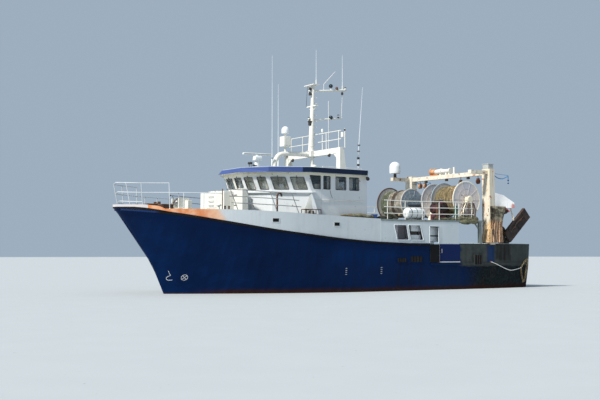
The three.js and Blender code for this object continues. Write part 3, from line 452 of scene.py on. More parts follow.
def settle(made, slot, replaces=(), body="ship"):
    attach(made, body)
    if replaces:
        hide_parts(replaces)
    return made


def dress(rows):
    """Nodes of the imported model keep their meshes. Columns: node, finish, width that rounds the edges."""
    for node, look, width in rows:
        made = frame["nodes"][node]
        made.data.materials.clear()
        made.data.materials.append(finish(look))
        if width:
            made.modifiers.new("weld", "WELD").merge_threshold = 1e-4
            rounded(made, width)


# Geometry trees

class Growth(Graph):
    """A geometry tree with named inputs; it ends in real geometry with one finish."""

    def __init__(self, name, inputs):
        tree = bpy.data.node_groups.new(name, "GeometryNodeTree")
        super().__init__(tree)
        tree.interface.new_socket("Path", in_out="INPUT", socket_type="NodeSocketGeometry")
        for title, (kind, value) in inputs.items():
            socket = tree.interface.new_socket(title, in_out="INPUT", socket_type=f"NodeSocket{kind}")
            if value is not None:
                socket.default_value = value
        tree.interface.new_socket("Finish", in_out="INPUT", socket_type="NodeSocketMaterial")
        tree.interface.new_socket("Result", in_out="OUTPUT", socket_type="NodeSocketGeometry")
        self.entry = tree.nodes.new("NodeGroupInput")

    def given(self, title):
        return Wire(self, self.entry.outputs[title])

    def ends(self, geometry):
        real = self.node("GeometryNodeRealizeInstances", {0: geometry})
        faced = self.node("GeometryNodeSetMaterial", {"Geometry": real, "Material": self.given("Finish")})
        leave = self.tree.nodes.new("NodeGroupOutput")
        self.feed(leave, {0: faced})
        return self.tree

    def swept(self, curve, profile):
        inputs = {"Curve": curve, "Profile Curve": profile, "Fill Caps": True}
        return self.ends(self.node("GeometryNodeCurveToMesh", inputs))

    def copies(self, points, rotation):
        """The piece on every point."""
        piece = self.node("GeometryNodeObjectInfo", {"Object": self.given("Piece")}, output="Geometry")
        inputs = {"Points": points, "Instance": piece, "Rotation": rotation}
        return self.ends(self.node("GeometryNodeInstanceOnPoints", inputs))


def round_bar():
    """Round bars along every path."""
    grown = Growth("round_bar", {"Radius": ("Float", 0.02), "Sides": ("Int", 10)})
    ring = {"Resolution": grown.given("Sides"), "Radius": grown.given("Radius")}
    return grown.swept(grown.given("Path"), grown.node("GeometryNodeCurvePrimitiveCircle", ring))


def laid_rope():
    """Rope of three strands that turn about each other along every path."""
    grown = Growth("laid_rope", {"Radius": ("Float", 0.02), "Lay": ("Float", 0.16), "Step": ("Float", 0.02)})
    radius = grown.given("Radius")
    even = {"Curve": grown.given("Path"), "Length": grown.given("Step")}
    path = grown.node("GeometryNodeResampleCurve", even, mode="LENGTH")
    along = grown.node("GeometryNodeSplineParameter", output="Length")
    turned = grown.node("GeometryNodeSetCurveTilt",
                        {"Curve": path, "Tilt": along * 2 * math.pi / grown.given("Lay")})
    ring = grown.node("GeometryNodeCurvePrimitiveCircle", {"Resolution": 12, "Radius": radius})
    share = grown.node("GeometryNodeSplineParameter", output="Factor")
    lobes = (share * 6 * math.pi).cosine() * 0.2 - 0.2
    where = grown.node("GeometryNodeInputPosition")
    bulge = grown.node("ShaderNodeVectorMath", {0: where, "Scale": lobes}, operation="SCALE")
    strands = grown.node("GeometryNodeSetPosition", {"Geometry": ring, "Offset": bulge})
    return grown.swept(turned, strands)


def strung():
    """Copies of a piece along every path, each turned about it by one more step."""
    grown = Growth("strung",
                   {"Piece": ("Object", None), "Spacing": ("Float", 0.1), "Step turn": ("Float", 0.0)})
    spaced = {"Curve": grown.given("Path"), "Length": grown.given("Spacing")}
    points = grown.tree.nodes.new("GeometryNodeCurveToPoints")
    points.mode = "LENGTH"
    grown.feed(points, spaced)
    index = grown.node("GeometryNodeInputIndex")
    roll = grown.node("FunctionNodeAxisAngleToRotation",
                      {"Axis": (0.0, 0.0, 1.0), "Angle": index * grown.given("Step turn")})
    whole = grown.node("FunctionNodeRotateRotation",
                       {"Rotation": Wire(grown, points.outputs["Rotation"]), "Rotate By": roll},
                       rotation_space="LOCAL")
    return grown.copies(Wire(grown, points.outputs["Points"]), whole)


def placed():
    """Copies of a piece on every point of a mesh, each turned by the point's own angles."""
    grown = Growth("placed", {"Piece": ("Object", None)})
    angle = grown.tree.nodes.new("GeometryNodeInputNamedAttribute")
    angle.data_type = "FLOAT_VECTOR"
    angle.inputs["Name"].default_value = "turn"
    turned = grown.node("FunctionNodeEulerToRotation", {0: Wire(grown, angle.outputs[0])})
    return grown.copies(grown.given("Path"), turned)


def lumpy():
    """A skin pushed in and out along its normals by two sizes of noise."""
    grown = Growth("lumpy", {"Depth": ("Float", 0.03), "Grain": ("Float", 5.0), "Seed": ("Float", 1.0)})
    where = grown.node("GeometryNodeInputPosition")
    out = grown.node("GeometryNodeInputNormal")
    push = 0.0
    for scale, share in ((1.0, 0.7), (3.1, 0.3)):
        inputs = {"Vector": where, "W": grown.given("Seed"), "Scale": grown.given("Grain") * scale,
                  "Detail": 3.0}
        lump = grown.node("ShaderNodeTexNoise", inputs, noise_dimensions="4D")
        push = (lump - 0.5) * 2 * share * grown.given("Depth") + push
    offset = grown.node("ShaderNodeVectorMath", {0: out, "Scale": push}, operation="SCALE")
    moved = grown.node("GeometryNodeSetPosition", {"Geometry": grown.given("Path"), "Offset": offset})
    return grown.ends(grown.node("GeometryNodeSetShadeSmooth", {"Geometry": moved}))


TREES = {}
GROWTHS = {"round_bar": round_bar, "laid_rope": laid_rope, "strung": strung, "placed": placed, "lumpy": lumpy}


def grow(made, growth, look, **inputs):
    """Runs a tree over a piece's own points or paths, and leaves the result as its plain mesh."""
    if growth not in TREES:
        TREES[growth] = GROWTHS[growth]()
    tree = TREES[growth]
    sockets = {item.name: item.identifier for item in tree.interface.items_tree if item.in_out == "INPUT"}
    nodes = made.modifiers.new(growth, "NODES")
    nodes.node_group = tree
    nodes[sockets["Finish"]] = finish(look)
    for title, value in inputs.items():
        nodes[sockets[title.replace("_", " ")]] = value
    return bake(made)


def paths(name, lines):
    """A curve object with one open path for each list of points."""
    curve = bpy.data.curves.new(name, "CURVE")
    curve.dimensions = "3D"
    for line in lines:
        path = curve.splines.new("POLY")
        path.points.add(len(line) - 1)
        path.points.foreach_set("co", [c for p in line for c in (*p, 1.0)])
    return loose(name, curve)


def grown_piece(name, lines, growth, look, slot, replaces=(), body="ship", **inputs):
    """Bars, ropes or strung pieces along paths, as one riding piece."""
    made = grow(paths(name, lines), growth, look, **inputs)
    smooth(made.data, 40)
    return settle(made, slot, replaces, body)


def bars(name, lines, look, slot, radius, sides=8, replaces=()):
    """Round bars along lines."""
    return grown_piece(name, lines, "round_bar", look, slot, replaces, Radius=radius, Sides=sides)


# Finishes

def hull_paint():
    """Navy topsides over red-brown bottom paint, rusty at the waterline and blackened towards the stern."""
    made = Finish("hull_paint", Metallic=0.0, Specular_IOR_Level=0.06)
    x, z = made.x, made.z
    wander = made.cloud(1.3, 5.0, (1, 1, 2.2)) - 0.5
    streak = made.cloud(1.0, 5.0, (5, 5, 0.5)).between(0.45, 0.72)
    fine = made.cloud(9.0, 5.0)
    navy = made.mix(made.cloud(0.45, 3.0).between(0.35, 0.7), (0.0005, 0.011, 0.052), (0.001, 0.016, 0.074))
    faded = made.mix((x + wander * 3).between(-2.5, -5.5), navy, (0.002, 0.016, 0.062))
    grey_plate = made.mix(made.cloud(2.5, 4.0), (0.028, 0.034, 0.034), (0.075, 0.085, 0.08))
    # The stern quarter has lost most of its navy; a few patches are left
    aft = (x + wander * 0.9).between(-6.0, -6.35)
    low_side = (z + wander * 0.3).between(1.28, 1.2)
    black = made.mix(fine.between(0.4, 0.65), (0.004, 0.008, 0.01), (0.013, 0.021, 0.025))
    lower_aft = made.mix((x + wander).between(-5.8, -8.2), navy, black)
    stern = made.mix(low_side, grey_plate, lower_aft)
    blue_left = x.band(-8.85, -8.24, 0.05) * z.band(1.45, 2.4, 0.05)
    stern = made.mix(blue_left * 0.8, stern, (0.004, 0.03, 0.11))
    stained = (x + wander * 0.3).band(-10.25, -8.95, 0.08) * (z + wander * 0.6).between(1.45, 1.65)
    stern = made.mix(stained * (streak * 0.5 + 0.4), stern, (0.014, 0.009, 0.009))
    side = made.mix(aft, faded, stern)
    scuppers = x.band(-3.5, -1.6, 0.25) * z.between(1.75, 1.45) * streak
    side = made.mix(scuppers * 0.8, side, (0.006, 0.007, 0.01))
    rust = (fine * 0.35 + made.cloud(1.1, 6.0, (3, 3, 0.8))).between(0.74, 0.86)
    stern_rust = rust * x.between(-4.5, -9.0) * 0.3
    side = made.mix(stern_rust, side, (0.05, 0.022, 0.012))
    runs = made.cloud(1.0, 4.0, (9, 9, 0.35), (4, 0, 0)).between(0.62, 0.78) * z.between(0.6, 2.6) * 0.25
    side = made.mix(runs, side, (0.03, 0.03, 0.035))
    waterline = (z + wander * 0.16).between(0.33, 0.05)
    band = made.mix(fine, (0.018, 0.008, 0.006), (0.04, 0.014, 0.01))
    weed = made.mix((z + wander * 0.1).between(0.06, -0.06), band, (0.028, 0.03, 0.022))
    bottom = made.mix(made.cloud(1.6, 5.0).between(0.4, 0.65), (0.11, 0.03, 0.02), (0.16, 0.05, 0.035))
    under = made.mix((z + wander * 0.3).between(-0.15, -0.5), weed, bottom)
    fouling = made.cells(14.0).between(0.16, 0.1) * made.cloud(0.9, 3.0).between(0.5, 0.62)
    under = made.mix(fouling * 0.7, under, (0.22, 0.22, 0.17))
    near_bow = x.between(9.2, 7.2)
    colour = made.mix(waterline * near_bow.most(z.between(0.1, 0.0)), side, under)
    inwards = (made.facing("Y") * made.y.sign()).between(-0.3, -0.6) * z.between(1.19, 1.21)
    inwards = inwards.most(made.facing("X").between(0.3, 0.6) * x.between(-11.0, -11.5)
                           * z.between(1.19, 1.21))
    colour = made.mix(inwards, colour, made.mix(fine.between(0.5, 0.7), (0.3, 0.33, 0.32), (0.16, 0.13, 0.1)))
    walked = made.facing("Z").between(0.85, 0.95) * z.band(1.15, 1.22, 0.02)
    colour = made.mix(walked, colour, made.mix(fine, (0.06, 0.075, 0.07), (0.16, 0.16, 0.14)))
    frames = ((x * (2 * math.pi / 0.55)).sine() * 0.5 + 0.5) ** 2
    dents = made.cloud(0.9, 2.0, (1, 1, 1.4)) * 3.0 + frames * 0.35 + stern_rust * 0.25 + fine * 0.05
    rough = aft * 0.2 + waterline * 0.3 + 0.36
    return made.done(colour, rough, dents, 0.02)


def strake_paint():
    """Pale grey-blue band over the sheer, with red lead where the bow was touched up."""
    made = Finish("strake_paint", Metallic=0.0)
    x, z = made.x, made.z
    wander = made.cloud(1.8, 4.0) - 0.5
    streak = made.cloud(1.0, 5.0, (6, 6, 0.5)).between(0.5, 0.74)
    spots = made.cloud(6.0, 6.0).between(0.66, 0.74)
    pale = made.mix(made.cloud(0.6, 3.0), (0.53, 0.58, 0.61), (0.6, 0.64, 0.66))
    pale = made.mix(streak * 0.14, pale, (0.34, 0.33, 0.29))
    pale = made.mix(spots * x.between(6.5, -3.0) * 0.7, pale, (0.22, 0.1, 0.05))
    lead = made.mix(made.cloud(3.0, 4.0).between(0.35, 0.65), (0.6, 0.2, 0.065), (0.7, 0.36, 0.2))
    slanted = x - (z - 3.45) * 0.6 + wander * 0.2
    lead = made.mix(slanted.between(9.2, 8.2) * 0.5, lead, (0.8, 0.58, 0.42))
    primer = slanted.between(7.95, 8.35) * (x + wander).between(12.1, 11.3)
    colour = made.mix(primer, pale, lead)
    top = made.facing("Z").between(0.7, 0.9)
    deck = made.mix(made.cloud(3.0, 5.0), (0.13, 0.17, 0.16), (0.24, 0.26, 0.24))
    colour = made.mix(top, colour, deck)
    return made.done(colour, top * 0.3 + primer * 0.2 + 0.5, made.cloud(2.0, 3.0) * 2 + spots, 0.006)


def house_places(made, tone):
    """The band over the windows is cream, and the fore face of the corner casings grey: grey paint that also
    stands in for the shade between its slats.
    """
    cream = made.z.between(5.74, 5.8)
    tone = made.mix(cream * 0.8, tone, (0.72, 0.7, 0.58))
    outside = (abs(made.y) + (made.x - 3.28) * 0.553).between(2.92, 2.95)
    # Grey fore face of each casing: paint, and painted shade of the slats
    casing = outside * made.z.between(4.98, 4.95) * made.facing("X").between(0.5, 0.7)
    return made.mix(casing, tone, (0.34, 0.36, 0.35))


def roof_places(made, tone):
    """The brow is a darker navy along the sides, painted shade of the sides turned from the sun; the roof
    itself is grey and the brow's underside pale.
    """
    top = made.facing("Z").between(0.75, 0.9)
    under = made.facing("Z").between(-0.75, -0.9)
    # Aft of the brow's corner the navy is darker: painted shade
    tone = made.mix(made.x.between(3.89, 3.87), tone, (0.003, 0.014, 0.046))
    return made.mix(under, made.mix(top, tone, (0.42, 0.46, 0.48)), (0.62, 0.62, 0.55))


def sheer_places(made, tone):
    """The rail round the bow is painted over in the navy of the hull."""
    return made.mix(made.x.between(10.9, 11.2), tone, (0.004, 0.022, 0.09))


def motor_places(made, tone):
    """Valves and hoses of the motor show as small light and dark patches."""
    patches = made.cells(9.0, (1, 1, 0.6))
    tone = made.mix(patches.between(0.42, 0.5), tone, (0.006, 0.006, 0.008))
    return made.mix(made.cells(7.0, (1, 1.4, 1)).between(0.16, 0.08) * 0.8, tone, (0.34, 0.15, 0.15))


FINISHES = {}


def finish(name):
    """A finish by its name, made when it is first asked for."""
    if name not in FINISHES:
        maker, *values = RECIPES[name]
        extra = values.pop() if values and isinstance(values[-1], dict) else {}
        FINISHES[name] = maker(*values, **extra)
    return FINISHES[name]


def lamp_glass():
    made = Finish("lamp_glass", Roughness=0.08, IOR=1.5, Coat_Weight=0.6)
    return made.done(made.mix(made.cells(18.0), (0.55, 0.56, 0.52), (0.78, 0.8, 0.78)))


def window_glass():
    """Tinted panes streaked with dried salt. The forward-facing panes take a paler tone, a painted highlight
    of sunlight on the salt, and the middle pair of the forward face is darker.
    """
    made = Finish("window_glass", IOR=1.45, Specular_IOR_Level=0.5)
    salt = made.cloud(1.5, 5.0, (3, 3, 1)).between(0.4, 0.75)
    # Panes that face forward: mask of the painted highlight of sunlight on the salt
    front = made.facing("X").between(0.2, 0.45)
    tinted = made.mix(salt * 0.3, (0.05, 0.1, 0.14), (0.3, 0.33, 0.33))
    salt_and_painted_sun = made.mix(salt, (0.3, 0.32, 0.27), (0.46, 0.47, 0.42))
    middle_pair = abs(made.y).between(0.86, 0.8)
    salt_and_painted_sun = made.mix(middle_pair * 0.75, salt_and_painted_sun, (0.1, 0.14, 0.17))
    colour = made.mix(front, tinted, salt_and_painted_sun)
    rough = salt * 0.25 + 0.04
    return made.done(colour, rough, Alpha=front * 0.14 + salt * 0.06 + 0.2)


def hood_sheet():
    """White sheet over the stowed nets, stained red at its aft end; it glows in its own tone, painted light
    that stands in for sunlight through the sheet.
    """
    # Steady emission in the sheet's own tone: a painted glow, so the sheet looks sunlit from every side
    made = Finish("hood_sheet", Emission_Strength=0.26)
    x, z = made.x, made.z
    wander = made.cloud(2.0, 4.0) - 0.5
    stained = (x + wander * 0.3).between(-10.2, -10.45) * (z + wander * 0.2).between(4.85, 4.7)
    tone = made.mix(made.cloud(1.2, 4.0).between(0.45, 0.7), (0.88, 0.87, 0.85), (0.78, 0.77, 0.76))
    tone = made.mix(stained * 0.8, tone, (0.45, 0.06, 0.05))
    folds = made.cloud(1.0, 4.0, (5, 1, 0.8))
    return made.done(tone, folds * 0.1 + 0.7, folds, 0.02, **{"Emission Color": tone})


def curtain_cloth():
    made = Finish("curtain_cloth", Sheen_Weight=0.3)
    weave = (made.z * 900).sine() * 0.5 + made.cloud(3.0, 4.0)
    colour = made.mix(made.cloud(2.2, 3.0), (0.76, 0.75, 0.68), (0.88, 0.87, 0.82))
    return made.done(colour, made.cloud(5.0) * 0.1 + 0.8, weave, 0.002)


def steel(name, colour, dark, rust, gloss=0.5, metal=0.75):
    made = Finish(name, Metallic=metal)
    fine = made.cloud(14.0, 5.0)
    spots = (fine * 0.5 + made.cloud(2.0, 4.0) * 0.6).between(0.62 - 0.14 * rust, 0.72 - 0.1 * rust)
    tone = made.mix(made.cloud(3.0, 4.0).between(0.35, 0.65), colour, dark)
    final = made.mix(spots * min(1.0, rust * 1.4), tone, (0.13, 0.045, 0.02))
    return made.done(final, spots * 0.3 + gloss, fine + spots * 0.6, 0.003)


def net_finish(name, twine, shadow, accent):
    """Wound netting: knotted diamonds over the folds, with painted shade in the hollows of the folds and in
    the openings of the mesh.
    """
    made = Finish(name)
    shaded_openings = made.cells(1 / MESH_SIZE, feature="DISTANCE_TO_EDGE").between(0.05, 0.28)
    folds = made.cloud(3.2, 5.0, (1, 3, 1))
    # Hollows of the folds take the shadow tone: painted shade
    tone = made.mix(folds.between(0.35, 0.68), shadow, twine)
    tone = made.mix(made.cloud(1.1, 3.0).between(0.5, 0.7) * 0.8, tone, accent)
    # Openings of the mesh take the shadow tone: painted shade seen through the net
    tone = made.mix(shaded_openings * 0.55, tone, shadow)
    return made.done(tone, made.cloud(6.0) * 0.1 + 0.85, folds * 2 - shaded_openings * 0.8, 0.03)


def rope_finish(name, colour, dark):
    made = Finish(name)
    lay = made.cloud(30.0, 3.0, (1, 1, 1))
    tone = made.mix(made.cloud(4.0, 4.0).between(0.35, 0.7), colour, dark)
    return made.done(tone, lay * 0.1 + 0.82, lay, 0.003)


def bundle_finish():
    """Trawl hung up to dry: tan over the post, bright as painted sunlight on its fore side; striped wings
    behind it, the dark bands painted shade in the pleats; dull folds under the hood, darkened as painted
    shade.
    """
    made = Finish("bundle_net")
    wander = made.cloud(1.3, 3.0) - 0.5
    pleats = made.cloud(1.0, 4.0, (14, 14, 0.7)).between(0.42, 0.6)
    # Dark bands across the pleats: painted shade
    pleat_shade_stripes = ((made.x + wander * 0.22) * (2 * math.pi / 0.13)).sine().between(-0.35, 0.1)
    # Fore side tan made bright: painted sunlight
    tan = made.mix(made.cloud(2.0, 4.0, (4, 4, 0.8)), (0.92, 0.6, 0.31), (0.96, 0.8, 0.53))
    wings = made.mix(pleat_shade_stripes, (0.03, 0.016, 0.012), (0.95, 0.57, 0.33))
    tone = made.mix((made.x + wander * 0.08).between(-8.45, -8.5), tan, wings)
    # Darker folds under the hood: painted shade
    folds = made.mix(made.cloud(2.6, 4.0, (1, 1, 1.6)).between(0.4, 0.62), (0.07, 0.06, 0.04),
                     (0.34, 0.3, 0.21))
    tone = made.mix((made.z + wander * 0.5).between(3.6, 3.9), tone, folds)
    shaded_openings = made.cells(26.0, feature="DISTANCE_TO_EDGE").between(0.05, 0.3)
    # Openings of the mesh a little darker: painted shade through the net
    tone = made.mix(shaded_openings * 0.15, tone, (0.12, 0.07, 0.035))
    return made.done(tone, pleats * 0.1 + 0.82, pleats * 2 - shaded_openings * 0.5, 0.02)


# Columns: maker and what it is given, which for paint is a name, two tones, rust, runs of dirt and dullness
RECIPES = {
    "hull": (hull_paint,),
    "strake": (strake_paint,),
    "white": (painted, "white_paint", (0.76, 0.75, 0.7), (0.68, 0.67, 0.61), 0.25, 0.22),
    "house": (painted, "house_paint", (0.69, 0.71, 0.72), (0.63, 0.66, 0.68), 0.3, 0.25,
              {"places": house_places}),
    "shelter": (painted, "shelter_paint", (0.52, 0.58, 0.61), (0.6, 0.65, 0.67), 0.4, 0.3),
    "cream": (painted, "cream_paint", (0.8, 0.76, 0.64), (0.7, 0.64, 0.5), 0.95, 0.7,
              {"rust_colour": (0.3, 0.11, 0.035)}),
    "drum": (painted, "drum_paint", (0.5, 0.49, 0.5), (0.62, 0.58, 0.52)),
    "brow": (painted, "brow_paint", (0.044, 0.076, 0.23), (0.052, 0.088, 0.25), 0.1, 0.15,
             {"places": roof_places, "Specular_IOR_Level": 0.2}),
    "gate": (painted, "gate_paint", (0.004, 0.014, 0.075), (0.007, 0.022, 0.1), 0.35, 0.3,
             {"dirt": (0.02, 0.02, 0.025), "Specular_IOR_Level": 0.1}),
    "wood": (painted, "cabin_wood", (0.3, 0.2, 0.12), (0.38, 0.27, 0.17), 0.0, 0.1, 0.4),
    "brown": (painted, "brown_paint", (0.085, 0.035, 0.022), (0.13, 0.06, 0.04), 0.7, 0.3, 0.6),
    "steel_blue": (painted, "steel_blue", (0.24, 0.32, 0.4), (0.34, 0.4, 0.45), 0.4),
    "lilac": (painted, "lilac_paint", (0.46, 0.47, 0.52), (0.64, 0.56, 0.52), 0.5, 0.6),
    "pale_blue": (painted, "pale_blue_paint", (0.04, 0.22, 0.46), (0.07, 0.28, 0.5), 0.2, 0.2),
    "red_float": (painted, "red_float", (0.42, 0.03, 0.02), (0.52, 0.08, 0.05), 0.0, 0.3, 0.4),
    "gantry": (painted, "gantry_paint", (0.74, 0.7, 0.6), (0.66, 0.58, 0.45), 1.0, 0.6,
               {"rust_colour": (0.34, 0.15, 0.07)}),
    "black": (painted, "black_paint", (0.003, 0.003, 0.004), (0.006, 0.007, 0.008), 0.2, 0.2, 0.6,
              {"dirt": (0.012, 0.01, 0.01), "Specular_IOR_Level": 0.15}),
    "sheer": (painted, "sheer_rail", (0.003, 0.003, 0.004), (0.006, 0.007, 0.008), 0.2, 0.1, 0.6,
              {"dirt": (0.012, 0.01, 0.01), "places": sheer_places, "Specular_IOR_Level": 0.15}),
    "rail": (painted, "rail_paint", (0.6, 0.64, 0.66), (0.5, 0.53, 0.54), 0.35, 0.2),
    "casing": (painted, "casing_paint", (0.66, 0.62, 0.69), (0.76, 0.72, 0.78), 0.5, 0.6),
    "ochre": (steel, "ochre_chain", (0.52, 0.4, 0.19), (0.22, 0.15, 0.07), 0.3, 0.7, 0.1),
    "hull_local": (painted, "bottom_paint", (0.12, 0.032, 0.022), (0.17, 0.055, 0.04), 0.3, 0.5, 0.65,
                   {"dirt": (0.2, 0.2, 0.16)}),
    "brown_net": (net_finish, "brown_net", (0.12, 0.09, 0.06), (0.03, 0.022, 0.016), (0.22, 0.14, 0.08)),
    "blue": (painted, "blue_paint", (0.01, 0.06, 0.25), (0.03, 0.12, 0.36), 0.5, 0.3),
    "deck": (painted, "deck_paint", (0.16, 0.2, 0.19), (0.26, 0.28, 0.26), 0.7, 0.3, 0.7),
    "maroon": (painted, "maroon_paint", (0.075, 0.008, 0.014), (0.15, 0.035, 0.045), 0.7, 0.9,
               {"dirt": (0.012, 0.01, 0.012), "places": motor_places}),
    "hood": (hood_sheet,),
    "lid_brown": (painted, "locker_lids", (0.2, 0.1, 0.055), (0.3, 0.17, 0.1), 0.5, 0.4),
    "ochre_rope": (rope_finish, "ochre_rope", (0.42, 0.27, 0.15), (0.25, 0.15, 0.08)),
    "orange": (painted, "orange_paint", (0.55, 0.24, 0.1), (0.66, 0.42, 0.26), 0.8),
    "grey": (painted, "grey_paint", (0.3, 0.33, 0.33), (0.4, 0.42, 0.41), 0.6, 0.6),
    "green": (painted, "green_paint", (0.03, 0.12, 0.08), (0.05, 0.17, 0.11), 0.6),
    "fibreglass": (painted, "fibreglass", (0.76, 0.79, 0.8), (0.7, 0.74, 0.76), 0.0, 0.3, 0.3),
    "rubber": (painted, "rubber", (0.012, 0.012, 0.014), (0.035, 0.035, 0.038), 0.1, 0.4, 0.75,
               {"dirt": (0.08, 0.07, 0.06)}),
    "dark": (painted, "dark_fitting", (0.018, 0.016, 0.016), (0.05, 0.04, 0.035), 0.5, 0.5, 0.6),
    "vinyl": (painted, "black_vinyl", (0.02, 0.02, 0.022), (0.03, 0.03, 0.032), 0.0, 0.1, 0.5),
    "screen": (painted, "dark_screen", (0.01, 0.02, 0.03), (0.02, 0.04, 0.05), 0.0, 0.0, 0.15),
    "zinc": (steel, "zinc_anode", (0.5, 0.5, 0.5), (0.36, 0.36, 0.35), 0.2, 0.6, 0.4),
    "galvanised": (steel, "galvanised", (0.42, 0.44, 0.45), (0.3, 0.31, 0.32), 0.35),
    "wire": (steel, "wire_rope", (0.22, 0.21, 0.2), (0.12, 0.1, 0.09), 0.8, 0.55, 0.6),
    "rusty": (steel, "rusty_steel", (0.055, 0.035, 0.028), (0.1, 0.05, 0.03), 0.9, 0.75, 0.2),
    "board": (steel, "board_steel", (0.02, 0.015, 0.014), (0.05, 0.034, 0.028), 0.45, 0.7, 0.2),
    "bronze": (steel, "bronze", (0.5, 0.3, 0.11), (0.34, 0.24, 0.12), 0.1, 0.32, 1.0),
    "green_net": (net_finish, "green_net", (0.24, 0.28, 0.19), (0.08, 0.095, 0.065), (0.33, 0.33, 0.26)),
    "olive_net": (net_finish, "olive_net", (0.4, 0.31, 0.165), (0.17, 0.13, 0.065), (0.32, 0.27, 0.14)),
    "pale_net": (net_finish, "pale_net", (0.44, 0.4, 0.34), (0.2, 0.18, 0.15), (0.54, 0.51, 0.46)),
    "dark_net": (net_finish, "dark_net", (0.05, 0.055, 0.04), (0.014, 0.015, 0.012), (0.12, 0.09, 0.06)),
    "blue_net": (net_finish, "blue_net", (0.13, 0.18, 0.23), (0.06, 0.085, 0.11), (0.18, 0.22, 0.24)),
    "pile_net": (net_finish, "pile_net", (0.3, 0.29, 0.17), (0.09, 0.085, 0.05), (0.2, 0.13, 0.07)),
    "bundle": (bundle_finish,),
    "pale_rope": (rope_finish, "pale_rope", (0.9, 0.89, 0.86), (0.76, 0.74, 0.68)),
    "brown_rope": (rope_finish, "brown_rope", (0.12, 0.09, 0.07), (0.06, 0.045, 0.035)),
    "olive_rope": (rope_finish, "olive_rope", (0.15, 0.15, 0.06), (0.06, 0.06, 0.03)),
    "float": (painted, "net_float", (0.3, 0.21, 0.12), (0.38, 0.29, 0.18), 0.0, 0.4, 0.5),
    "lamp_glass": (lamp_glass,),
    "glass": (window_glass,),
    "curtain": (curtain_cloth,),
    "lining": (painted, "cabin_lining", (0.66, 0.61, 0.52), (0.58, 0.53, 0.45), 0.0, 0.1, 0.6),
    "floor": (painted, "studio_floor", (0.44, 0.47, 0.49), (0.45, 0.48, 0.5), 0.0, 0.0, 0.85,
              {"Specular_IOR_Level": 0.1}),
}


# Settings

def size(name, description, default, least=0.0):
    return bpy.props.FloatProperty(name=name, description=description, default=default, min=least, max=50.0,
                                   unit="LENGTH")


def turn(name, description, degrees):
    return bpy.props.FloatProperty(name=name, description=description, default=math.radians(degrees),
                                   subtype="ANGLE")


def count(name, description, default, least=1, most=400):
    return bpy.props.IntProperty(name=name, description=description, default=default, min=least, max=most)


def tint(name, description, default):
    return bpy.props.FloatVectorProperty(name=name, description=description, default=default, size=3,
                                         subtype="COLOR", min=0.0, max=1.0)


class StageSettings(bpy.types.PropertyGroup):
    sun_heading: turn("Sun heading", "Where the sun stands, from the bow towards port", 9)
    sun_height: turn("Sun height", "How high the sun stands over the horizon", 43)
    sun_power: bpy.props.FloatProperty(name="Sun power", description="Strength of the sun", default=5.2)
    sun_width: turn("Sun width", "Apparent size of the sun, which softens its shadows", 6)
    sky: tint("Sky", "Light that comes from all round", (0.4, 0.5, 0.61))
    sky_power: bpy.props.FloatProperty(name="Sky power", description="Strength of the sky", default=0.85)
    eye: bpy.props.FloatVectorProperty(name="Eye", description="Where the camera stands",
                                       default=(30.67, 41.9, 1.88), size=3, unit="LENGTH")
    look: bpy.props.FloatVectorProperty(name="Look", description="Level direction of the camera",
                                        default=(-0.565, -0.825, 0.0), size=3)
    pitch: turn("Pitch", "How far the camera looks up", 3.26)
    lens: bpy.props.FloatProperty(name="Lens", description="Focal length, in millimetres", default=57.6)


class HullSettings(bpy.types.PropertyGroup):
    station: size("Station step", "Length of one strip of the hull's skin", 0.22, 0.05)
    port_width: size("Strake port", "Width of the ports in the strake", 0.32)
    frame_step: size("Frame step", "Distance between the frames that show inside the bulwark", 0.55, 0.1)
    anode_step: size("Anode step", "Distance between the anodes along the bilge", 2.4, 0.2)


class RailSettings(bpy.types.PropertyGroup):
    bow_bar: size("Bow bar", "Radius of the bars of the bow rail", 0.019)
    bar: size("Bar", "Radius of the bars of the other rails", 0.02)


class DrumSettings(bpy.types.PropertyGroup):
    ribs: count("Flange ribs", "Ribs on each flange of the net drums", 10, 3, 48)
    float_radius: size("Float radius", "Radius of the floats in the windings", 0.075, 0.02)
    pleats: count("Pleats", "Folds round the hung trawl", 26, 4, 60)


# Stage and lights

class TRAWLER_OT_stage(bpy.types.Operator):
    """Pale floor at the waterline, a sun over the bow and the camera of the photograph"""
    bl_idname = "trawler.stage"
    bl_label = "Stage"

    def execute(self, context):
        wanted = context.scene.trawler_stage
        far = 700.0
        floor = Shape().add([(-far, -far, 0), (far, -far, 0), (far, far, 0), (-far, far, 0)], [(0, 1, 2, 3)])
        loose("floor", floor.mesh("floor", "floor"))
        world = bpy.data.worlds.new("sky")
        world.use_nodes = True
        back = world.node_tree.nodes["Background"]
        back.inputs["Color"].default_value = (*wanted.sky, 1.0)
        back.inputs["Strength"].default_value = wanted.sky_power
        context.scene.world = world
        context.scene.view_settings.view_transform = "Standard"
        sun = bpy.data.lights.new("sun", "SUN")
        sun.energy = wanted.sun_power
        sun.angle = wanted.sun_width
        sun.color = (1.0, 0.965, 0.9)
        level = math.cos(wanted.sun_height)
        towards = Vector((level * math.cos(wanted.sun_heading), level * math.sin(wanted.sun_heading),
                          math.sin(wanted.sun_height)))
        loose("sun", sun).rotation_euler = towards.to_track_quat("Z", "Y").to_euler()
        lens = bpy.data.cameras.new("camera")
        lens.lens = wanted.lens
        lens.sensor_width = 36.0
        lens.clip_end = 2000.0
        camera = loose("camera", lens)
        camera.location = wanted.eye
        look = Vector(wanted.look).normalized() * math.cos(wanted.pitch)
        look.z = math.sin(wanted.pitch)
        camera.rotation_euler = look.to_track_quat("-Z", "Y").to_euler()
        context.scene.camera = camera
        return {"FINISHED"}


# Hull

def sided(points, side):
    """Points of the port side on that side or on the other."""
    return [Vector((p[0], side * p[1], p[2])) for p in points]


def both_sides(port):
    return [*port, *sided(reversed(port), -1)]


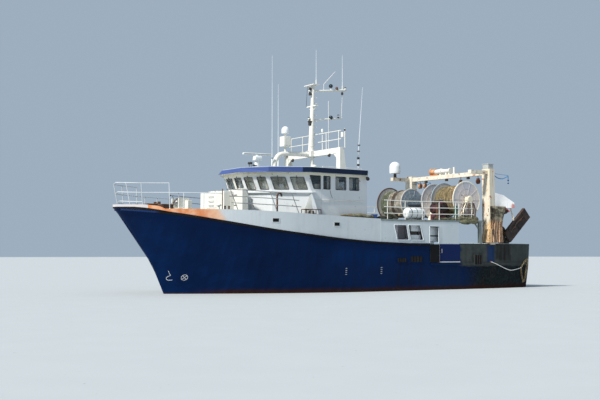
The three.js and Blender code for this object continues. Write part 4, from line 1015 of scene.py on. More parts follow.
SECTION_ANGLES = (0, 8, 16, 24, 32, 40, 48, 56, 63, 70, 76, 81, 85, 88, 90)


def body_ring(t, inset):
    """One section of the body below the working deck: keel, bilge and side, on both sides."""
    nominal = lerp(TRANSOM_X, stem_x(0), t)
    depth = value_at(BOTTOM, nominal)
    fullness = value_at(FULLNESS, nominal)
    port = []
    for degrees in SECTION_ANGLES[1:]:
        angle = math.radians(degrees)
        z = depth * math.cos(angle) ** fullness
        x = lerp(transom_x(max(z, 0)), stem_x(z), t)
        y = (half_breadth(x + stem_x(0) - stem_x(z), 0) - inset) * math.sin(angle) ** fullness
        port.append(Vector((x, max(y, 0.02), z)))
    for z in np.linspace(0, WORK_DECK, 7)[1:]:
        x = lerp(transom_x(z), stem_x(z), t)
        port.append(Vector((x, half_breadth(x, z) - inset, z)))
    centre = Vector((lerp(TRANSOM_X, stem_x(depth), t), 0, depth))
    return [centre, *both_sides(port)]


def body_skin(step):
    span = stem_x(0) - TRANSOM_X
    rows = []
    for degrees in range(0, 90, 10):
        angle = math.radians(degrees)
        rows.append(body_ring(QUARTER_RADIUS * (1 - math.cos(angle)) / span,
                              QUARTER_RADIUS * (1 - math.sin(angle))))
    stations = np.linspace(TRANSOM_X + QUARTER_RADIUS, stem_x(0), int(span / step))
    rows += [body_ring((x - TRANSOM_X) / span, 0) for x in stations]
    return Shape().grid(rows, round_rows=True, caps=True)


def fore_point(t, rise):
    """A point of the raised bow: t runs from the bulkhead to the stem, rise from the deck to the sheer."""
    x, z = lerp(BULKHEAD_X, 12.4, t), WORK_DECK
    for _ in range(8):
        z = lerp(WORK_DECK, sheer(x), rise)
        x = lerp(BULKHEAD_X, stem_x(z), t)
    return Vector((x, half_breadth(x, z), z))


def eased(steps, power):
    """Shares from 0 to 1 that come closer together towards 1."""
    return [1 - (1 - k / steps) ** power for k in range(steps + 1)]


def joined(made, name, part, operation):
    """Adds a part to a piece for good, or takes it away."""
    tool = loose(name, part.mesh(name, "hull" if operation == "UNION" else ""))
    join = made.modifiers.new("join", "BOOLEAN")
    join.operation = operation
    join.solver = "EXACT"
    join.object = tool
    bake(made)
    bpy.data.objects.remove(tool)


def bake(made):
    """Turns what the modifiers give into the piece's own plain mesh."""
    bpy.context.view_layer.update()
    shown = made.evaluated_get(bpy.context.evaluated_depsgraph_get())
    mesh = bpy.data.meshes.new_from_object(shown)
    if made.type == "CURVE":
        name = made.name
        bpy.data.objects.remove(made)
        return loose(name, mesh)
    made.modifiers.clear()
    old = made.data
    made.data = mesh
    bpy.data.meshes.remove(old)
    return made


def on_side(x, z, out=0.0, side=1):
    return Vector((x, side * (half_breadth(x, z) + out), z))


class TRAWLER_OT_hull(bpy.types.Operator):
    """Fair skin of the whole hull, with keel, bulb, stern tube and thruster tunnel"""
    bl_idname = "trawler.hull"
    bl_label = "Hull"

    def execute(self, context):
        wanted = context.scene.trawler_hull
        body = loose("hull_body", body_skin(wanted.station).mesh("hull_body", "hull"))
        outline = ((9.0, -1.9), (8.2, -2.75), (7.3, KEEL), (-11.5, KEEL), (-11.5, -2.91), (-9.2, -2.91),
                   (-9.2, -0.7), (-7.6, -0.7), (-5.0, -1.5), (8.0, -1.5))
        keel = Shape().prism([(x, 0.13, z) for x, z in outline], (0, -0.26, 0))
        # Bulb. Columns: radius, distance forward
        lines = ((0.0, 0.0), (0.3, 0.3), (0.4, 0.62), (0.47, 1.0), (0.49, 1.6), (0.46, 1.95), (0.4, 2.2),
                 (0.31, 2.4), (0.21, 2.52), (0.1, 2.6), (0.0, 2.62))
        bulb = Shape().turned(lines, (0, 0, 0), ALONG, 32)
        bulb.points = [Vector((8.4 + p.x, p.y * 0.85, -1.56 + p.z * 1.1)) for p in bulb.points]
        tube = Shape().turned(((0, 0), (0.21, 0), (0.21, 1.35), (0.18, 1.5), (0, 1.5)), (-7.9, 0, -1.96),
                              (-1, 0, 0), 32)
        trunk = Shape().post((-10.75, 0, -1.06), -0.3, 0.15, 24)
        for number, part in enumerate((keel, bulb, tube, trunk)):
            joined(body, f"tool_{number}", part, "UNION")
        joined(body, "cutter", Shape().tube([(8.45, -1.5, -1.35), (8.45, 1.5, -1.35)], 0.27, 32),
               "DIFFERENCE")
        smooth(body.data, 32)
        body.name = "hull_plating"
        settle(body, "antifouling", "hull")
        rows = []
        for t in eased(64, 1.35):
            rows.append(both_sides([fore_point(t, rise) for rise in np.linspace(0, 1, 12)]))
        Shape().grid(rows, round_rows=True, caps=True).piece("bow_plating", "hull", "navy_paint", "hull_fore")
        return {"FINISHED"}


class TRAWLER_OT_strake(bpy.types.Operator):
    """Raised strake and foredeck, with its framed ports"""
    bl_idname = "trawler.strake"
    bl_label = "Strake and foredeck"

    def execute(self, context):
        rows = []
        for t in np.linspace(0, 0.88, 60):
            edge = fore_point(t, 1)
            port = [Vector((edge.x, edge.y - 0.02, lerp(edge.z, deck_edge(edge.x), rise)))
                    for rise in (0, 0.35, 0.7, 1)]
            rows.append(both_sides(port))
        Shape().grid(rows, round_rows=True, caps=True).piece("strake_plating", "strake", "white_paint",
                                                             "strake_fore")
        half = context.scene.trawler_hull.port_width / 2
        frames = Shape()
        for side in (1, -1):
            for x in (5.72, 2.2):
                z, depth = deck_edge(x) - 0.42, 0.012
                y = half_breadth(x, sheer(x)) - 0.02
                slope = (half_breadth(x + 0.1, sheer(x)) - half_breadth(x - 0.1, sheer(x))) / 0.2
                along = Vector((1, side * slope, 0)).normalized()
                out = Vector(UP).cross(along) * -side
                place = Matrix((along, out, UP)).transposed().to_4x4()
                place.translation = (x, side * y, z)
                frames.box((-half, -depth, -0.085), (half, 0.004, 0.085), 1, place)
                for x0, x1, z0, z1 in ((-half - 0.03, half + 0.03, 0.085, 0.115),
                                       (-half - 0.03, half + 0.03, -0.115, -0.085),
                                       (-half - 0.03, -half, -0.085, 0.085),
                                       (half, half + 0.03, -0.085, 0.085)):
                    frames.box((x0, -depth, z0), (x1, 0.016, z1), 0, place)
        frames.piece("strake_ports", "rail black", "white_paint")
        return {"FINISHED"}


def curved(points, steps=6):
    """A smooth line through the points."""
    line = [Vector(p) for p in points]
    ends = [line[0] * 2 - line[1], *line, line[-1] * 2 - line[-2]]
    made = []
    for i in range(1, len(ends) - 2):
        p0, p1, p2, p3 = ends[i - 1:i + 3]
        for k in range(steps):
            t = k / steps
            made.append(0.5 * (2 * p1 + (p2 - p0) * t + (2 * p0 - 5 * p1 + 4 * p2 - p3) * t ** 2
                               + (3 * p1 - p0 - 3 * p2 + p3) * t ** 3))
    return [*made, line[-1]]


def rounded_ring(corners, radius):
    """A flat closed path with its corners rounded."""
    made = []
    for i, corner in enumerate(corners):
        before = (corners[i - 1] - corner).normalized() * radius + corner
        after = (corners[(i + 1) % len(corners)] - corner).normalized() * radius + corner
        for k in range(5):
            t = k / 4
            made.append(before * (1 - t) ** 2 + corner * (2 * t * (1 - t)) + after * t ** 2)
    return made


def circle(centre, radius, axis, steps=16):
    """Points on a circle round an axis."""
    side = Vector(UP) if abs(axis.z) < 0.9 else Vector(ALONG)
    side = (side - axis * side.dot(axis)).normalized()
    up = axis.cross(side)
    angles = (2 * math.pi * k / steps for k in range(steps))
    return [centre + (side * math.cos(a) + up * math.sin(a)) * radius for a in angles]


def flattened(steps, power):
    """Places on a circle with flattened sides, as cosine and sine."""
    angles = (2 * math.pi * k / steps for k in range(steps))
    return [[math.copysign(abs(v) ** power, v) for v in (math.cos(a), math.sin(a))] for a in angles]


def chain_link(length, wire):
    """One link, lengthwise along Z."""
    half, wide = length / 2 - wire * 1.6, wire * 1.6
    ring = [Vector((math.cos(a) * wide, 0, math.sin(a) * wide + math.copysign(half - wide, math.sin(a))))
            for a in (math.radians(15 + 30 * k) for k in range(12))]
    return Shape().loop(ring, wire / 2, 6)


def chain(name, line, length, wire, look="rusty"):
    """A chain along a line, each link turned a quarter from the one before it."""
    one = loose(f"{name}_link", chain_link(length, wire).mesh(f"{name}_link"))
    grown_piece(name, [line], "strung", look, "rusty_steel", Piece=one, Spacing=length - wire * 1.9,
                Step_turn=math.pi / 2)
    bpy.data.objects.remove(one)


def rows_of(name, spots, item, look, slot, body="ship"):
    """Copies of one small shape at spots, each a place or a place and its turns about x, y and z."""
    spots = [spot if len(spot) == 2 else (spot, (0, 0, 0)) for spot in spots]
    mesh = bpy.data.meshes.new(name)
    mesh.from_pydata([tuple(place) for place, _ in spots], [], [])
    turns = mesh.attributes.new("turn", "FLOAT_VECTOR", "POINT")
    turns.data.foreach_set("vector", [angle for _, turned in spots for angle in turned])
    source = loose(f"{name}_one", item.mesh(f"{name}_one"))
    made = grow(loose(name, mesh), "placed", look, Piece=source)
    bpy.data.objects.remove(source)
    smooth(made.data, 35)
    return settle(made, slot, body=body)


def netted(name, shape, look, depth, grain, seed, slot="net_twine", replaces=(), body="ship"):
    """A shape with its skin pushed into the lumps of wound or heaped netting."""
    made = grow(loose(name, shape.mesh(name)), "lumpy", look, Depth=depth, Grain=grain, Seed=seed)
    settle(made, slot, replaces, body)


def heap(name, lumps, look, depth, grain, seed, rings=14, sides=24):
    """Netting heaped up in lumps. Columns: x, y, z, half length, half width, half height."""
    shape = Shape()
    for x, y, z, *half in lumps:
        lump = Shape().ball((0, 0, 0), 1.0, rings=rings, sides=sides)
        shape.join(lump, Matrix.Translation((x, y, z)) @ Matrix.Diagonal((*half, 1)))
    netted(name, shape, look, depth, grain, seed)


def side_turn(x, z, side=1):
    """The turn about Z that lays a shape's own x axis along the hull's side."""
    return math.atan2(side * (half_breadth(x + 0.1, z) - half_breadth(x - 0.1, z)), 0.2)


def side_mark(strokes, width, side=1):
    """Painted strokes that lie on the hull's side. Each stroke is a line of (x, z)."""
    made = Shape()
    for stroke in strokes:
        line = [on_side(x, z, 0.0, side) for x, z in stroke]
        rows = []
        for i, p in enumerate(line):
            along = (line[min(i + 1, len(line) - 1)] - line[max(i - 1, 0)]).normalized()
            x, z = stroke[i]
            across_x = on_side(x + 0.05, z, 0.0, side) - on_side(x - 0.05, z, 0.0, side)
            across_z = on_side(x, z + 0.05, 0.0, side) - on_side(x, z - 0.05, 0.0, side)
            out = across_x.cross(across_z).normalized()
            out = out if out.y * side > 0 else -out
            wide = along.cross(out).normalized() * width / 2
            rows.append([p - wide - out * 0.004, p + wide - out * 0.004, p + wide + out * 0.004,
                         p - wide + out * 0.004])
        made.grid(rows, 0, True, True)
    return made


class TRAWLER_OT_bulwarks(bpy.types.Operator):
    """Bulwarks and shelter sides, their stays, scuppers, gate fittings and rubbing rails"""
    bl_idname = "trawler.bulwarks"
    bl_label = "Bulwarks and shelter"

    def execute(self, context):
        wanted = context.scene.trawler_hull
        dress((("bulwark_port", "hull", 0), ("bulwark_starboard", "hull", 0), ("bulwark_stern", "hull", 0),
               ("shelter_side_port", "shelter", 0.008), ("shelter_side_starboard", "shelter", 0.008),
               ("shelter_deck", "deck", 0), ("sheer_rail_port", "sheer", 0),
               ("sheer_rail_starboard", "sheer", 0), ("bulwark_gate", "gate", 0.006)))
        self.stays(wanted.frame_step)
        self.scuppers()
        self.gate()
        self.caps()
        anodes = Shape().prism([(-0.16, 0, -0.04), (0.16, 0, -0.04), (0.12, 0.05, -0.02),
                                (-0.12, 0.05, -0.02)],
                               (0, 0, 0.08))
        spots = []
        for side in (1, -1):
            for x in np.arange(-8.0, 6.0, wanted.anode_step):
                ring = body_ring((x - TRANSOM_X) / (stem_x(0) - TRANSOM_X), 0)
                place = ring[9]
                flat = math.atan2(ring[10].z - ring[8].z, ring[10].y - ring[8].y)
                spots.append((Vector((place.x, side * place.y, place.z)), (side * (flat + math.pi), 0, 0)))
        rows_of("bilge_anodes", spots, anodes, "zinc", "galvanised_steel")
        return {"FINISHED"}

    def stays(self, step):
        """Bent plates that hold the bulwark up from inside."""
        stay = Shape().prism([(0, 0, 0), (0, -0.26, 0), (0, -0.24, 0.05), (0, -0.05, 1.0), (0, 0, 1.02)],
                             (0.014, 0, 0))
        rib = Shape().prism([(0, 0, 0), (0, -0.07, 0), (0, -0.07, 2.3), (0, 0, 2.3)], (0.012, 0, 0))
        spots, ribs = [], []
        for found, rows in ((spots, np.arange(-11.2, -6.6, step)), (ribs, np.arange(-5.8, -0.9, step))):
            for x in rows:
                passage = -6.3 < x < -3.85
                opening = any(aft - 0.1 < x < fore + 0.1 for aft, fore in ((-2.56, -1.44), (-3.56, -2.38)))
                for side in (1, -1):
                    if found is spots or not (opening or side > 0 and passage):
                        inner = half_breadth(x, 1.3) - PLATE
                        turned = (0, 0, 0 if side > 0 else math.pi)
                        found.append((Vector((x, side * (inner + 0.004), WORK_DECK)), turned))
        rows_of("bulwark_stays", spots, stay, "grey", "white_paint")
        rows_of("shelter_ribs", ribs, rib, "grey", "white_paint")

    def scuppers(self):
        """Long slots with flaps at the foot of the bulwark, and a freeing port aft."""
        made = Shape()
        for side in (1, -1):
            for fore, aft, foot, head in ((-1.67, -2.28, 1.5, 1.7), (-2.56, -3.39, 1.5, 1.8),
                                          (-7.15, -7.75, 1.34, 1.86)):
                out = 0.068 if fore < -4 else 0.006
                place = Matrix.Rotation(side_turn((fore + aft) / 2, foot, side), 4, "Z")
                place.translation = on_side((fore + aft) / 2, foot, out, side)
                half = (fore - aft) / 2
                made.box((-half, -0.012, 0), (half, 0.012, head - foot), 1, place)
                for x0, x1, z0, z1 in ((-half - 0.03, half + 0.03, -0.03, 0),
                                       (-half, -half - 0.03, 0, head - foot),
                                       (half, half + 0.03, 0, head - foot),
                                       (-half - 0.03, half + 0.03, head - foot, head - foot + 0.03)):
                    made.box((min(x0, x1), -0.018, z0), (max(x0, x1), 0.018, z1), 0, place)
                for k in range(4):
                    x = lerp(-half, half, (k + 0.5) / 4)
                    made.tube([place @ Vector((x, 0.016 * side, 0)),
                               place @ Vector((x, 0.016 * side, head - foot))],
                              0.007, 6, 2)
        made.piece("freeing_ports", "hull black dark", "navy_paint")

    def gate(self):
        lowest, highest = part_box("bulwark_gate")
        y = highest.y
        made = Shape()
        made.box((highest.x - 0.04, y - 0.004, lowest.z), (highest.x, y + 0.008, highest.z), 0)
        made.box((lowest.x, y - 0.004, lowest.z), (highest.x, y + 0.008, lowest.z + 0.045), 0)
        made.post((highest.x - 0.2, y + 0.02, 2.0), 2.16, 0.014, 8, 1)
        made.box((highest.x - 0.24, y, 1.97), (highest.x - 0.16, y + 0.012, 2.19), 1)
        made.piece("gate_trim", "white galvanised", "white_paint", body="gate")
        inside = Shape()
        for x in np.linspace(lowest.x + 0.25, highest.x - 0.25, 4):
            inside.box((x - 0.006, lowest.y - 0.05, lowest.z + 0.05), (x + 0.006, lowest.y, highest.z - 0.05))
        for z in (lowest.z + 0.05, highest.z - 0.11):
            inside.box((lowest.x + 0.15, lowest.y - 0.052, z), (highest.x - 0.1, lowest.y, z + 0.06))
        inside.piece("gate_frames", "grey", "navy_paint", body="gate")

    def caps(self):
        """Round rail on the bulwark's head, round the openings, and the black step at the passage."""
        lines = []
        for side in (1, -1):
            lines.append([on_side(x, 2.49, -0.04, side) + Vector((0, 0, 0.006))
                          for x in np.linspace(-6.25, -11.6, 14)])
            for fore_top, aft_top, fore_foot, aft_foot in ((-1.48, -2.33, -1.7, -2.52),
                                                           (-2.43, -3.28, -2.62, -3.52)):
                corners = [Vector((x, side * SHELL_Y, z)) for x, z in ((fore_foot, 2.64), (fore_top, 3.44),
                                                                     (aft_top, 3.44), (aft_foot, 2.64))]
                ring = rounded_ring(corners, 0.09)
                lines.append([*ring, ring[0]])
            lines.append([(x, side * SHELL_Y, z)
                          for x, z in ((-3.95, 2.5), (-3.95, 3.4), (-4.6, 3.4), (-4.6, 2.5))])
        bars("bulwark_cap", lines, "shelter", "white_paint", 0.022)
        step = Shape()
        for side in (1, -1):
            place = Matrix.Rotation(side_turn(-4.6, 1.9, side), 4, "Z")
            place.translation = on_side(-4.275, 1.46, 0.004, side)
            if side > 0:
                place.translation.y = 3.62
            step.box((-0.325, -0.012, 0), (0.325, 0.012, 0.98), 0, place)
        step.piece("passage_plate", "black", "dark_trim")


class TRAWLER_OT_side_gear(bpy.types.Operator):
    """Marks on the side, the slack rope and the chain over the quarter, and draught ticks"""
    bl_idname = "trawler.side_gear"
    bl_label = "Side gear"

    def execute(self, context):
        for side, name in ((1, "port"), (-1, "starboard")):
            ring = [(9.21 + 0.13 * math.cos(a), 0.79 + 0.13 * math.sin(a))
                    for a in np.linspace(0, 2 * math.pi, 25)]
            cross = [[(9.12, 0.7), (9.3, 0.88)], [(9.12, 0.88), (9.3, 0.7)], [(9.91, 1.105), (9.78, 0.89)]]
            nose = [(9.78, 0.89), (9.84, 0.86), (9.904, 0.81), (9.924, 0.75), (9.9, 0.7), (9.84, 0.665),
                    (9.76, 0.66), (9.67, 0.675)]
            ticks = [[(1.57, 0.9 + 0.1 * k), (1.67, 0.9 + 0.1 * k)] for k in range(4)]
            ticks += [[(-0.68, 0.92 + 0.1 * k), (-0.58, 0.92 + 0.1 * k)] for k in range(4)]
            marks = side_mark([ring, *cross, [(p.x, p.z) for p in curved([(x, 0, z) for x, z in nose])],
                               *ticks],
                              0.022, side)
            marks.piece(f"painted_marks_{name}", "rail", "white_paint")
        self.slack_rope()
        for name, places in (
                ("quarter_chain", ((-11.66, 1.6), (-11.32, 1.34), (-11.17, 1.11), (-11.22, 0.76),
                                   (-11.39, 0.36))),
                ("quarter_chain_aft", ((-11.76, 1.57), (-11.72, 1.28), (-11.64, 0.99), (-11.61, 0.7),
                                       (-11.51, 0.4)))):
            line = curved([tuple(on_side(x, z, 0.05)) for x, z in places])
            chain(name, line, 0.15, 0.028, look="ochre")
        return {"FINISHED"}

    def slack_rope(self):
        """Mooring line hung slack along the quarter, from one lug to the other."""
        ends = (on_side(-8.494, 1.48, 0.075), on_side(-11.15, 1.14, 0.075))
        route = [ends[0]]
        for x, z in ((-8.9, 1.36), (-9.35, 1.22), (-9.75, 1.09), (-10.1, 1.01), (-10.35, 1.0), (-10.6, 1.03),
                     (-10.9, 1.08)):
            route.append(on_side(x, z, 0.045 if z < 1.3 else 0.085))
        route.append(ends[1])
        line = curved(route, 4)
        made = grow(paths("slack_rope", [line]), "round_bar", "pale_rope", Radius=0.018, Sides=12)
        smooth(made.data, 40)
        settle(made, "net_twine")
        lugs = Shape()
        for end in ends:
            lugs.box((end.x - 0.04, end.y - 0.1, end.z - 0.05), (end.x + 0.04, end.y + 0.0, end.z + 0.05))
        lugs.piece("rope_lugs", "rusty", "rusty_steel", bevel=0.01)


# Rails

def railing(path, heights, lean=(0, 0, 0)):
    """Lines of a railing: a bar at each height, and a post at every inner point of the path."""
    lean = Vector(lean)
    top = heights[-1]

    def place(p, height):
        return Vector(p) + lean * (height / top) + Vector((0, 0, height))

    bars = [[place(p, height) for p in path] for height in heights]
    posts = [[place(p, 0), place(p, top)] for p in path[1:-1]]
    return bars + posts


def deck_path(xs, inset, rise, side):
    return [Vector((x, side * (half_breadth(x, sheer(x)) - inset), max(deck_edge(x), sheer(x)) + rise))
            for x in xs]


class TRAWLER_OT_rails(bpy.types.Operator):
    """Round-bar railings of the bow, the waist, the shelter deck and the mast portal"""
    bl_idname = "trawler.rails"
    bl_label = "Railings"

    def execute(self, context):
        wanted = context.scene.trawler_rails
        feet = []
        for side, name in ((1, "port"), (-1, "starboard")):
            bow = [Vector((12.14, side * 0.001, 4.06)),
                   *deck_path((11.98, 11.55, 10.52, 9.95, 9.1, 8.3), 0.11, -0.008, side)]
            leans = (0.3, 0.26, 0.1, 0.04, 0.0, 0.0, 0.0)
            # The top bar ends at the third post, the middle one runs on. Columns: height, number of points
            lines = []
            for height, reach in ((0.33, 3), (0.76, 7), (1.2, 4)):
                lines.append([p + Vector((lean * height / 1.2, 0, height))
                              for p, lean in zip(bow[:reach], leans)])
            for p, lean, height in zip(bow[1:-1], leans[1:], (1.2, 1.2, 1.2, 0.76, 0.76)):
                lines.append([p, p + Vector((lean * height / 1.2, 0, height))])
            bars(f"bow_railing_{name}", lines, "rail", "white_paint", wanted.bow_bar, 10, f"bow_rail_{name}")
            waist = deck_path((7.75, 7.56, 6.78, 5.6, 4.42, 4.15), 0.09, -0.02, side)
            bars(f"waist_railing_{name}", railing(waist, (0.33, 0.64, 0.96), (0.42, 0, 0)), "galvanised",
                 "galvanised_steel", wanted.bar, 10, f"waist_rail_{name}")
            steps = [-0.9, -1.1, -2.3, -3.5, -4.7, -5.9, -6.15] + ([-7.1, -7.3] if side > 0 else [])
            aft = [Vector((x, side * 3.52, deck_edge(x) - 0.02)) for x in steps]
            bars(f"shelter_railing_{name}", railing(aft, (0.33, 0.66, 1.0)), "white", "white_paint",
                 wanted.bar, 10, f"aft_rail_{name}")
            for path in (bow[1:], waist, aft):
                feet += [p + Vector((0, 0, 0.012)) for p in path[1:-1]]
        lines = []
        for side in (-1, 1):
            lines += railing([(1.05, side * y, 7.4) for y in (2.4, 2.2, 1.1, 0.35)], (0.46, 0.9))
        lines.append([(1.05, -0.45, 8.3), (1.05, 0.45, 8.3)])
        bars("portal_railing", lines, "white", "white_paint", wanted.bar, 10, "portal_rail")
        foot = Shape().turned(((0.0, -0.012), (0.05, -0.012), (0.05, 0.0), (0.03, 0.012), (0.0, 0.012)),
                              (0, 0, 0), UP, 12)
        rows_of("rail_feet", feet, foot, "white", "white_paint")
        return {"FINISHED"}


# Wheelhouse

# Port side of the house at the sill. Columns: x, y
HOUSE = ((-0.25, 2.9), (3.28, 2.9), (4.98, 1.96), (5.81, 0.86))
HOUSE_RAKE = 0.4
SILL = 5.05
HEAD = 5.86
# Front windows. Columns: wall, start and end along it
FRONT_WINDOWS = ((1, 0.074, 0.436), (1, 0.554, 0.936), (2, 0.1, 0.44), (2, 0.6, 0.937), (3, 0.066, 0.48))
# Side windows. Columns: aft edge, fore edge at the foot, fore edge at the head
SIDE_WINDOWS = ((2.69, 3.13, 3.38), (2.095, 2.535, 2.535), (1.1, 1.775, 1.775), (0.27, 0.9, 0.9))


def shifted(ring, offset):
    """A flat ring moved outwards by the same distance all along."""
    made = []
    for i, p in enumerate(ring):
        before, after = ring[i - 1], ring[(i + 1) % len(ring)]
        first = Vector((before.y - p.y, p.x - before.x, 0)).normalized()
        second = Vector((p.y - after.y, after.x - p.x, 0)).normalized()
        middle = (first + second).normalized()
        made.append(p + middle * (offset / middle.dot(first)))
    return made


def house_ring(z, offset=0.0):
    """Outline of the wheelhouse at a height."""
    lean = HOUSE_RAKE * clamp(z - SILL, 0, HEAD - SILL)
    port = [Vector((x + (lean if i else 0), y, z)) for i, (x, y) in enumerate(HOUSE)]
    return shifted(both_sides(port), offset)


def window_corners():
    """The four corners of every window of the port half: foot, foot, head, head."""
    made = []
    for wall, start, end in FRONT_WINDOWS:
        low_ring, high_ring = house_ring(5.11), house_ring(5.73)
        made.append([low_ring[wall].lerp(low_ring[wall + 1], start),
                     low_ring[wall].lerp(low_ring[wall + 1], end),
                     high_ring[wall].lerp(high_ring[wall + 1], end),
                     high_ring[wall].lerp(high_ring[wall + 1], start)])
    for aft, fore_foot, fore_head in SIDE_WINDOWS:
        made.append([Vector((x, HOUSE[0][1], z))
                     for x, z in ((aft, 5.16), (fore_foot, 5.16), (fore_head, 5.83), (aft, 5.83))])
    return made


class TRAWLER_OT_wheelhouse(bpy.types.Operator):
    """Wheelhouse with gaskets, wipers, cabin, blinds, door and brow"""
    bl_idname = "trawler.wheelhouse"
    bl_label = "Wheelhouse"

    def execute(self, context):
        dress((("wheelhouse_walls", "house", 0.012), ("wheelhouse_roof", "brow", 0.02),
               ("wheelhouse_glass", "glass", 0), ("wheelhouse_door", "white", 0.008),
               ("helm_console", "lining", 0), ("helm_chair", "vinyl", 0.05)))
        self.gaskets()
        self.cabin()
        self.outside()
        self.fairings()
        self.side_deck()
        return {"FINISHED"}

    def gaskets(self):
        rims = Shape()
        for corners in window_corners():
            middle = sum(corners, Vector()) / 4
            out = (corners[1] - corners[0]).cross(corners[3] - corners[0]).normalized()
            out = out if out.dot(middle - Vector((2, 0, middle.z))) > 0 else -out
            for side in (1, -1):
                for rise, radius in ((0.002, 0.008), (-0.06, 0.012)):
                    rims.loop(sided(rounded_ring([p + out * rise for p in corners], 0.06), side), radius, 6)
        aft = [Vector((-0.252, y, z)) for y, z in ((0.15, 5.16), (1.05, 5.16), (1.05, 5.78), (0.15, 5.78))]
        rims.loop(rounded_ring(aft, 0.06), 0.014, 6)
        rims.piece("window_gaskets", "rubber", "dark_trim")
        door = Shape()
        ring = [Vector((-0.307, y, z)) for y, z in ((-1.68, 5.05), (-1.32, 5.05), (-1.32, 5.55),
                                                    (-1.68, 5.55))]
        door.loop(rounded_ring(ring, 0.05), 0.014, 6, 0)
        door.box((-0.286, -1.69, 5.04), (-0.276, -1.31, 5.56), 1)
        for z in (4.35, 5.0, 5.3):
            door.box((-0.318, -1.86, z - 0.02), (-0.304, -1.7, z + 0.02), 2)
            door.tube([(-0.311, -1.72, z), (-0.345, -1.72, z)], 0.02, 8, 2)
            door.tube([(-0.34, -1.72, z), (-0.34, -1.6, z - 0.06)], 0.012, 8, 2)
        door.piece("door_fittings", "rubber screen galvanised", "dark_trim", body="door")

    def cabin(self):
        """What the windows show: sole, ceiling, desk, screens, seats and blinds."""
        cabin = Shape()
        cabin.box((-0.15, -2.8, 3.86), (3.3, 2.8, 3.9), 0)
        cabin.add([(p.x, p.y, 5.93) for p in house_ring(5.9, -0.12)], [(0, 1, 2, 3, 4, 5, 6, 7)], 0)
        cabin.box((4.2, -1.3, 4.885), (4.62, 1.3, 4.91), 1)
        for y in (-0.95, -0.35, 0.3, 0.95):
            cabin.box((4.33, y - 0.22, 4.93), (4.38, y + 0.22, 5.24), 2)
            cabin.box((4.35, y - 0.05, 4.9), (4.38, y + 0.05, 5.0), 1)
        for y in (-1.9, 1.9):
            cabin.box((3.55, y - 0.35, 3.9), (4.05, y + 0.3, 4.75), 3)
        # Lockers and lit panels along the sides
        for lowest, highest, look in (((2.25, 2.35, 3.9), (3.0, 2.75, 5.05), 3),
                                      ((2.62, 2.42, 5.05), (2.95, 2.72, 5.42), 4),
                                      ((1.95, 2.3, 4.9), (2.2, 2.75, 5.5), 3),
                                      ((0.2, 2.2, 3.9), (1.9, 2.7, 5.1), 3),
                                      ((1.18, 2.5, 5.1), (1.42, 2.72, 5.34), 4),
                                      ((0.3, -2.75, 3.9), (2.2, -2.2, 5.05), 3)):
            cabin.box(lowest, highest, look)
        cabin.post((3.25, 1.2, 5.0), 5.9, 0.03, 10, 1)
        cabin.piece("cabin", "lining dark screen wood cream", "white_paint", bevel=0.006)
        slat = Shape().box((-0.027, -0.002, -0.3), (0.027, 0.002, 0.3))
        spots = []
        for wall, start, end in ((1, 0.3, 0.43), (1, 0.56, 0.6), (2, 0.11, 0.22), (2, 0.6, 0.72),
                                 (3, 0.07, 0.16), (3, 0.38, 0.47)):
            low_ring, high_ring = house_ring(5.12, -0.16), house_ring(5.72, -0.16)
            for side in (1, -1):
                for share in np.arange(start, end, 0.03):
                    foot = low_ring[wall].lerp(low_ring[wall + 1], share)
                    top = high_ring[wall].lerp(high_ring[wall + 1], share)
                    first, second = low_ring[wall:wall + 2]
                    yaw = math.atan2(second.y - first.y, second.x - first.x)
                    turned = (0, 0.36 * math.cos(yaw), side * (yaw + 0.5))
                    spots.append((*sided([(foot + top) / 2], side), turned))
        for x0, x1 in ((1.5, 1.77), (0.62, 0.9), (2.12, 2.22), (0.28, 0.34)):
            for side in (1, -1):
                spots += [(Vector((x, side * 2.785, 5.5)), (0, 0, 0.3)) for x in np.arange(x0, x1, 0.045)]
        rows_of("blinds", spots, slat, "curtain", "white_paint")

    def outside(self):
        """Wipers, lamps under the brow, grab rail, vents and cable pipe."""
        made = Shape()
        for corners in window_corners()[:5]:
            foot = corners[0].lerp(corners[1], 0.5)
            head = corners[3].lerp(corners[2], 0.5)
            out = (corners[1] - corners[0]).cross(corners[3] - corners[0]).normalized()
            out = out if out.x > 0 else -out
            for side in (1, -1):
                pivot = head + (head - foot).normalized() * 0.05 + out * 0.03
                tip = foot.lerp(head, 0.25) + out * 0.03 + (corners[1] - corners[0]) * 0.12
                blade = (corners[1] - corners[0]).normalized() * 0.02 + (head - foot).normalized() * 0.16
                line = [pivot, tip.lerp(pivot, 0.15)]
                strip = [tip - blade, tip + blade * 1.6]
                for path, radius in ((line, 0.008), (strip, 0.009),
                                     ([pivot - out * 0.05, pivot + out * 0.01], 0.022)):
                    made.tube(sided(path, side), radius, 6, 0)
        foot, head = (max(p.x for p in house_ring(z)) for z in (5.08, 5.77))
        made.prism([(foot, -0.08, 5.08), (foot, 0.08, 5.08), (head, 0.08, 5.77), (head, -0.08, 5.77)],
                   (0.012, 0, -0.005), 1)
        for side in (1, -1):
            for x, y in ((5.58, 1.55), (4.35, 2.52)):
                made.turned(((0, 0), (0.05, 0), (0.06, -0.05), (0.045, -0.1), (0, -0.12)),
                            (x, side * y, 5.94), UP, 12, 1)
            made.tube([(3.0, side * 2.93, 4.62), (0.1, side * 2.93, 4.62)], 0.016, 8, 1)
            for x in (2.95, 2.0, 1.05, 0.15):
                made.tube([(x, side * 2.93, 4.62), (x, side * 2.89, 4.62)], 0.014, 6, 1)
            made.turned(((0, -0.1), (0.07, -0.1), (0.09, -0.02), (0.095, 0.06), (0.085, 0.08), (0, 0.085)),
                        (-0.12, side * 3.12, 5.8), (0.3, 0.75 * side, -0.5), 16, 2)
            made.post((-0.12, side * 3.12, 5.85), 5.96, 0.018, 8, 1)
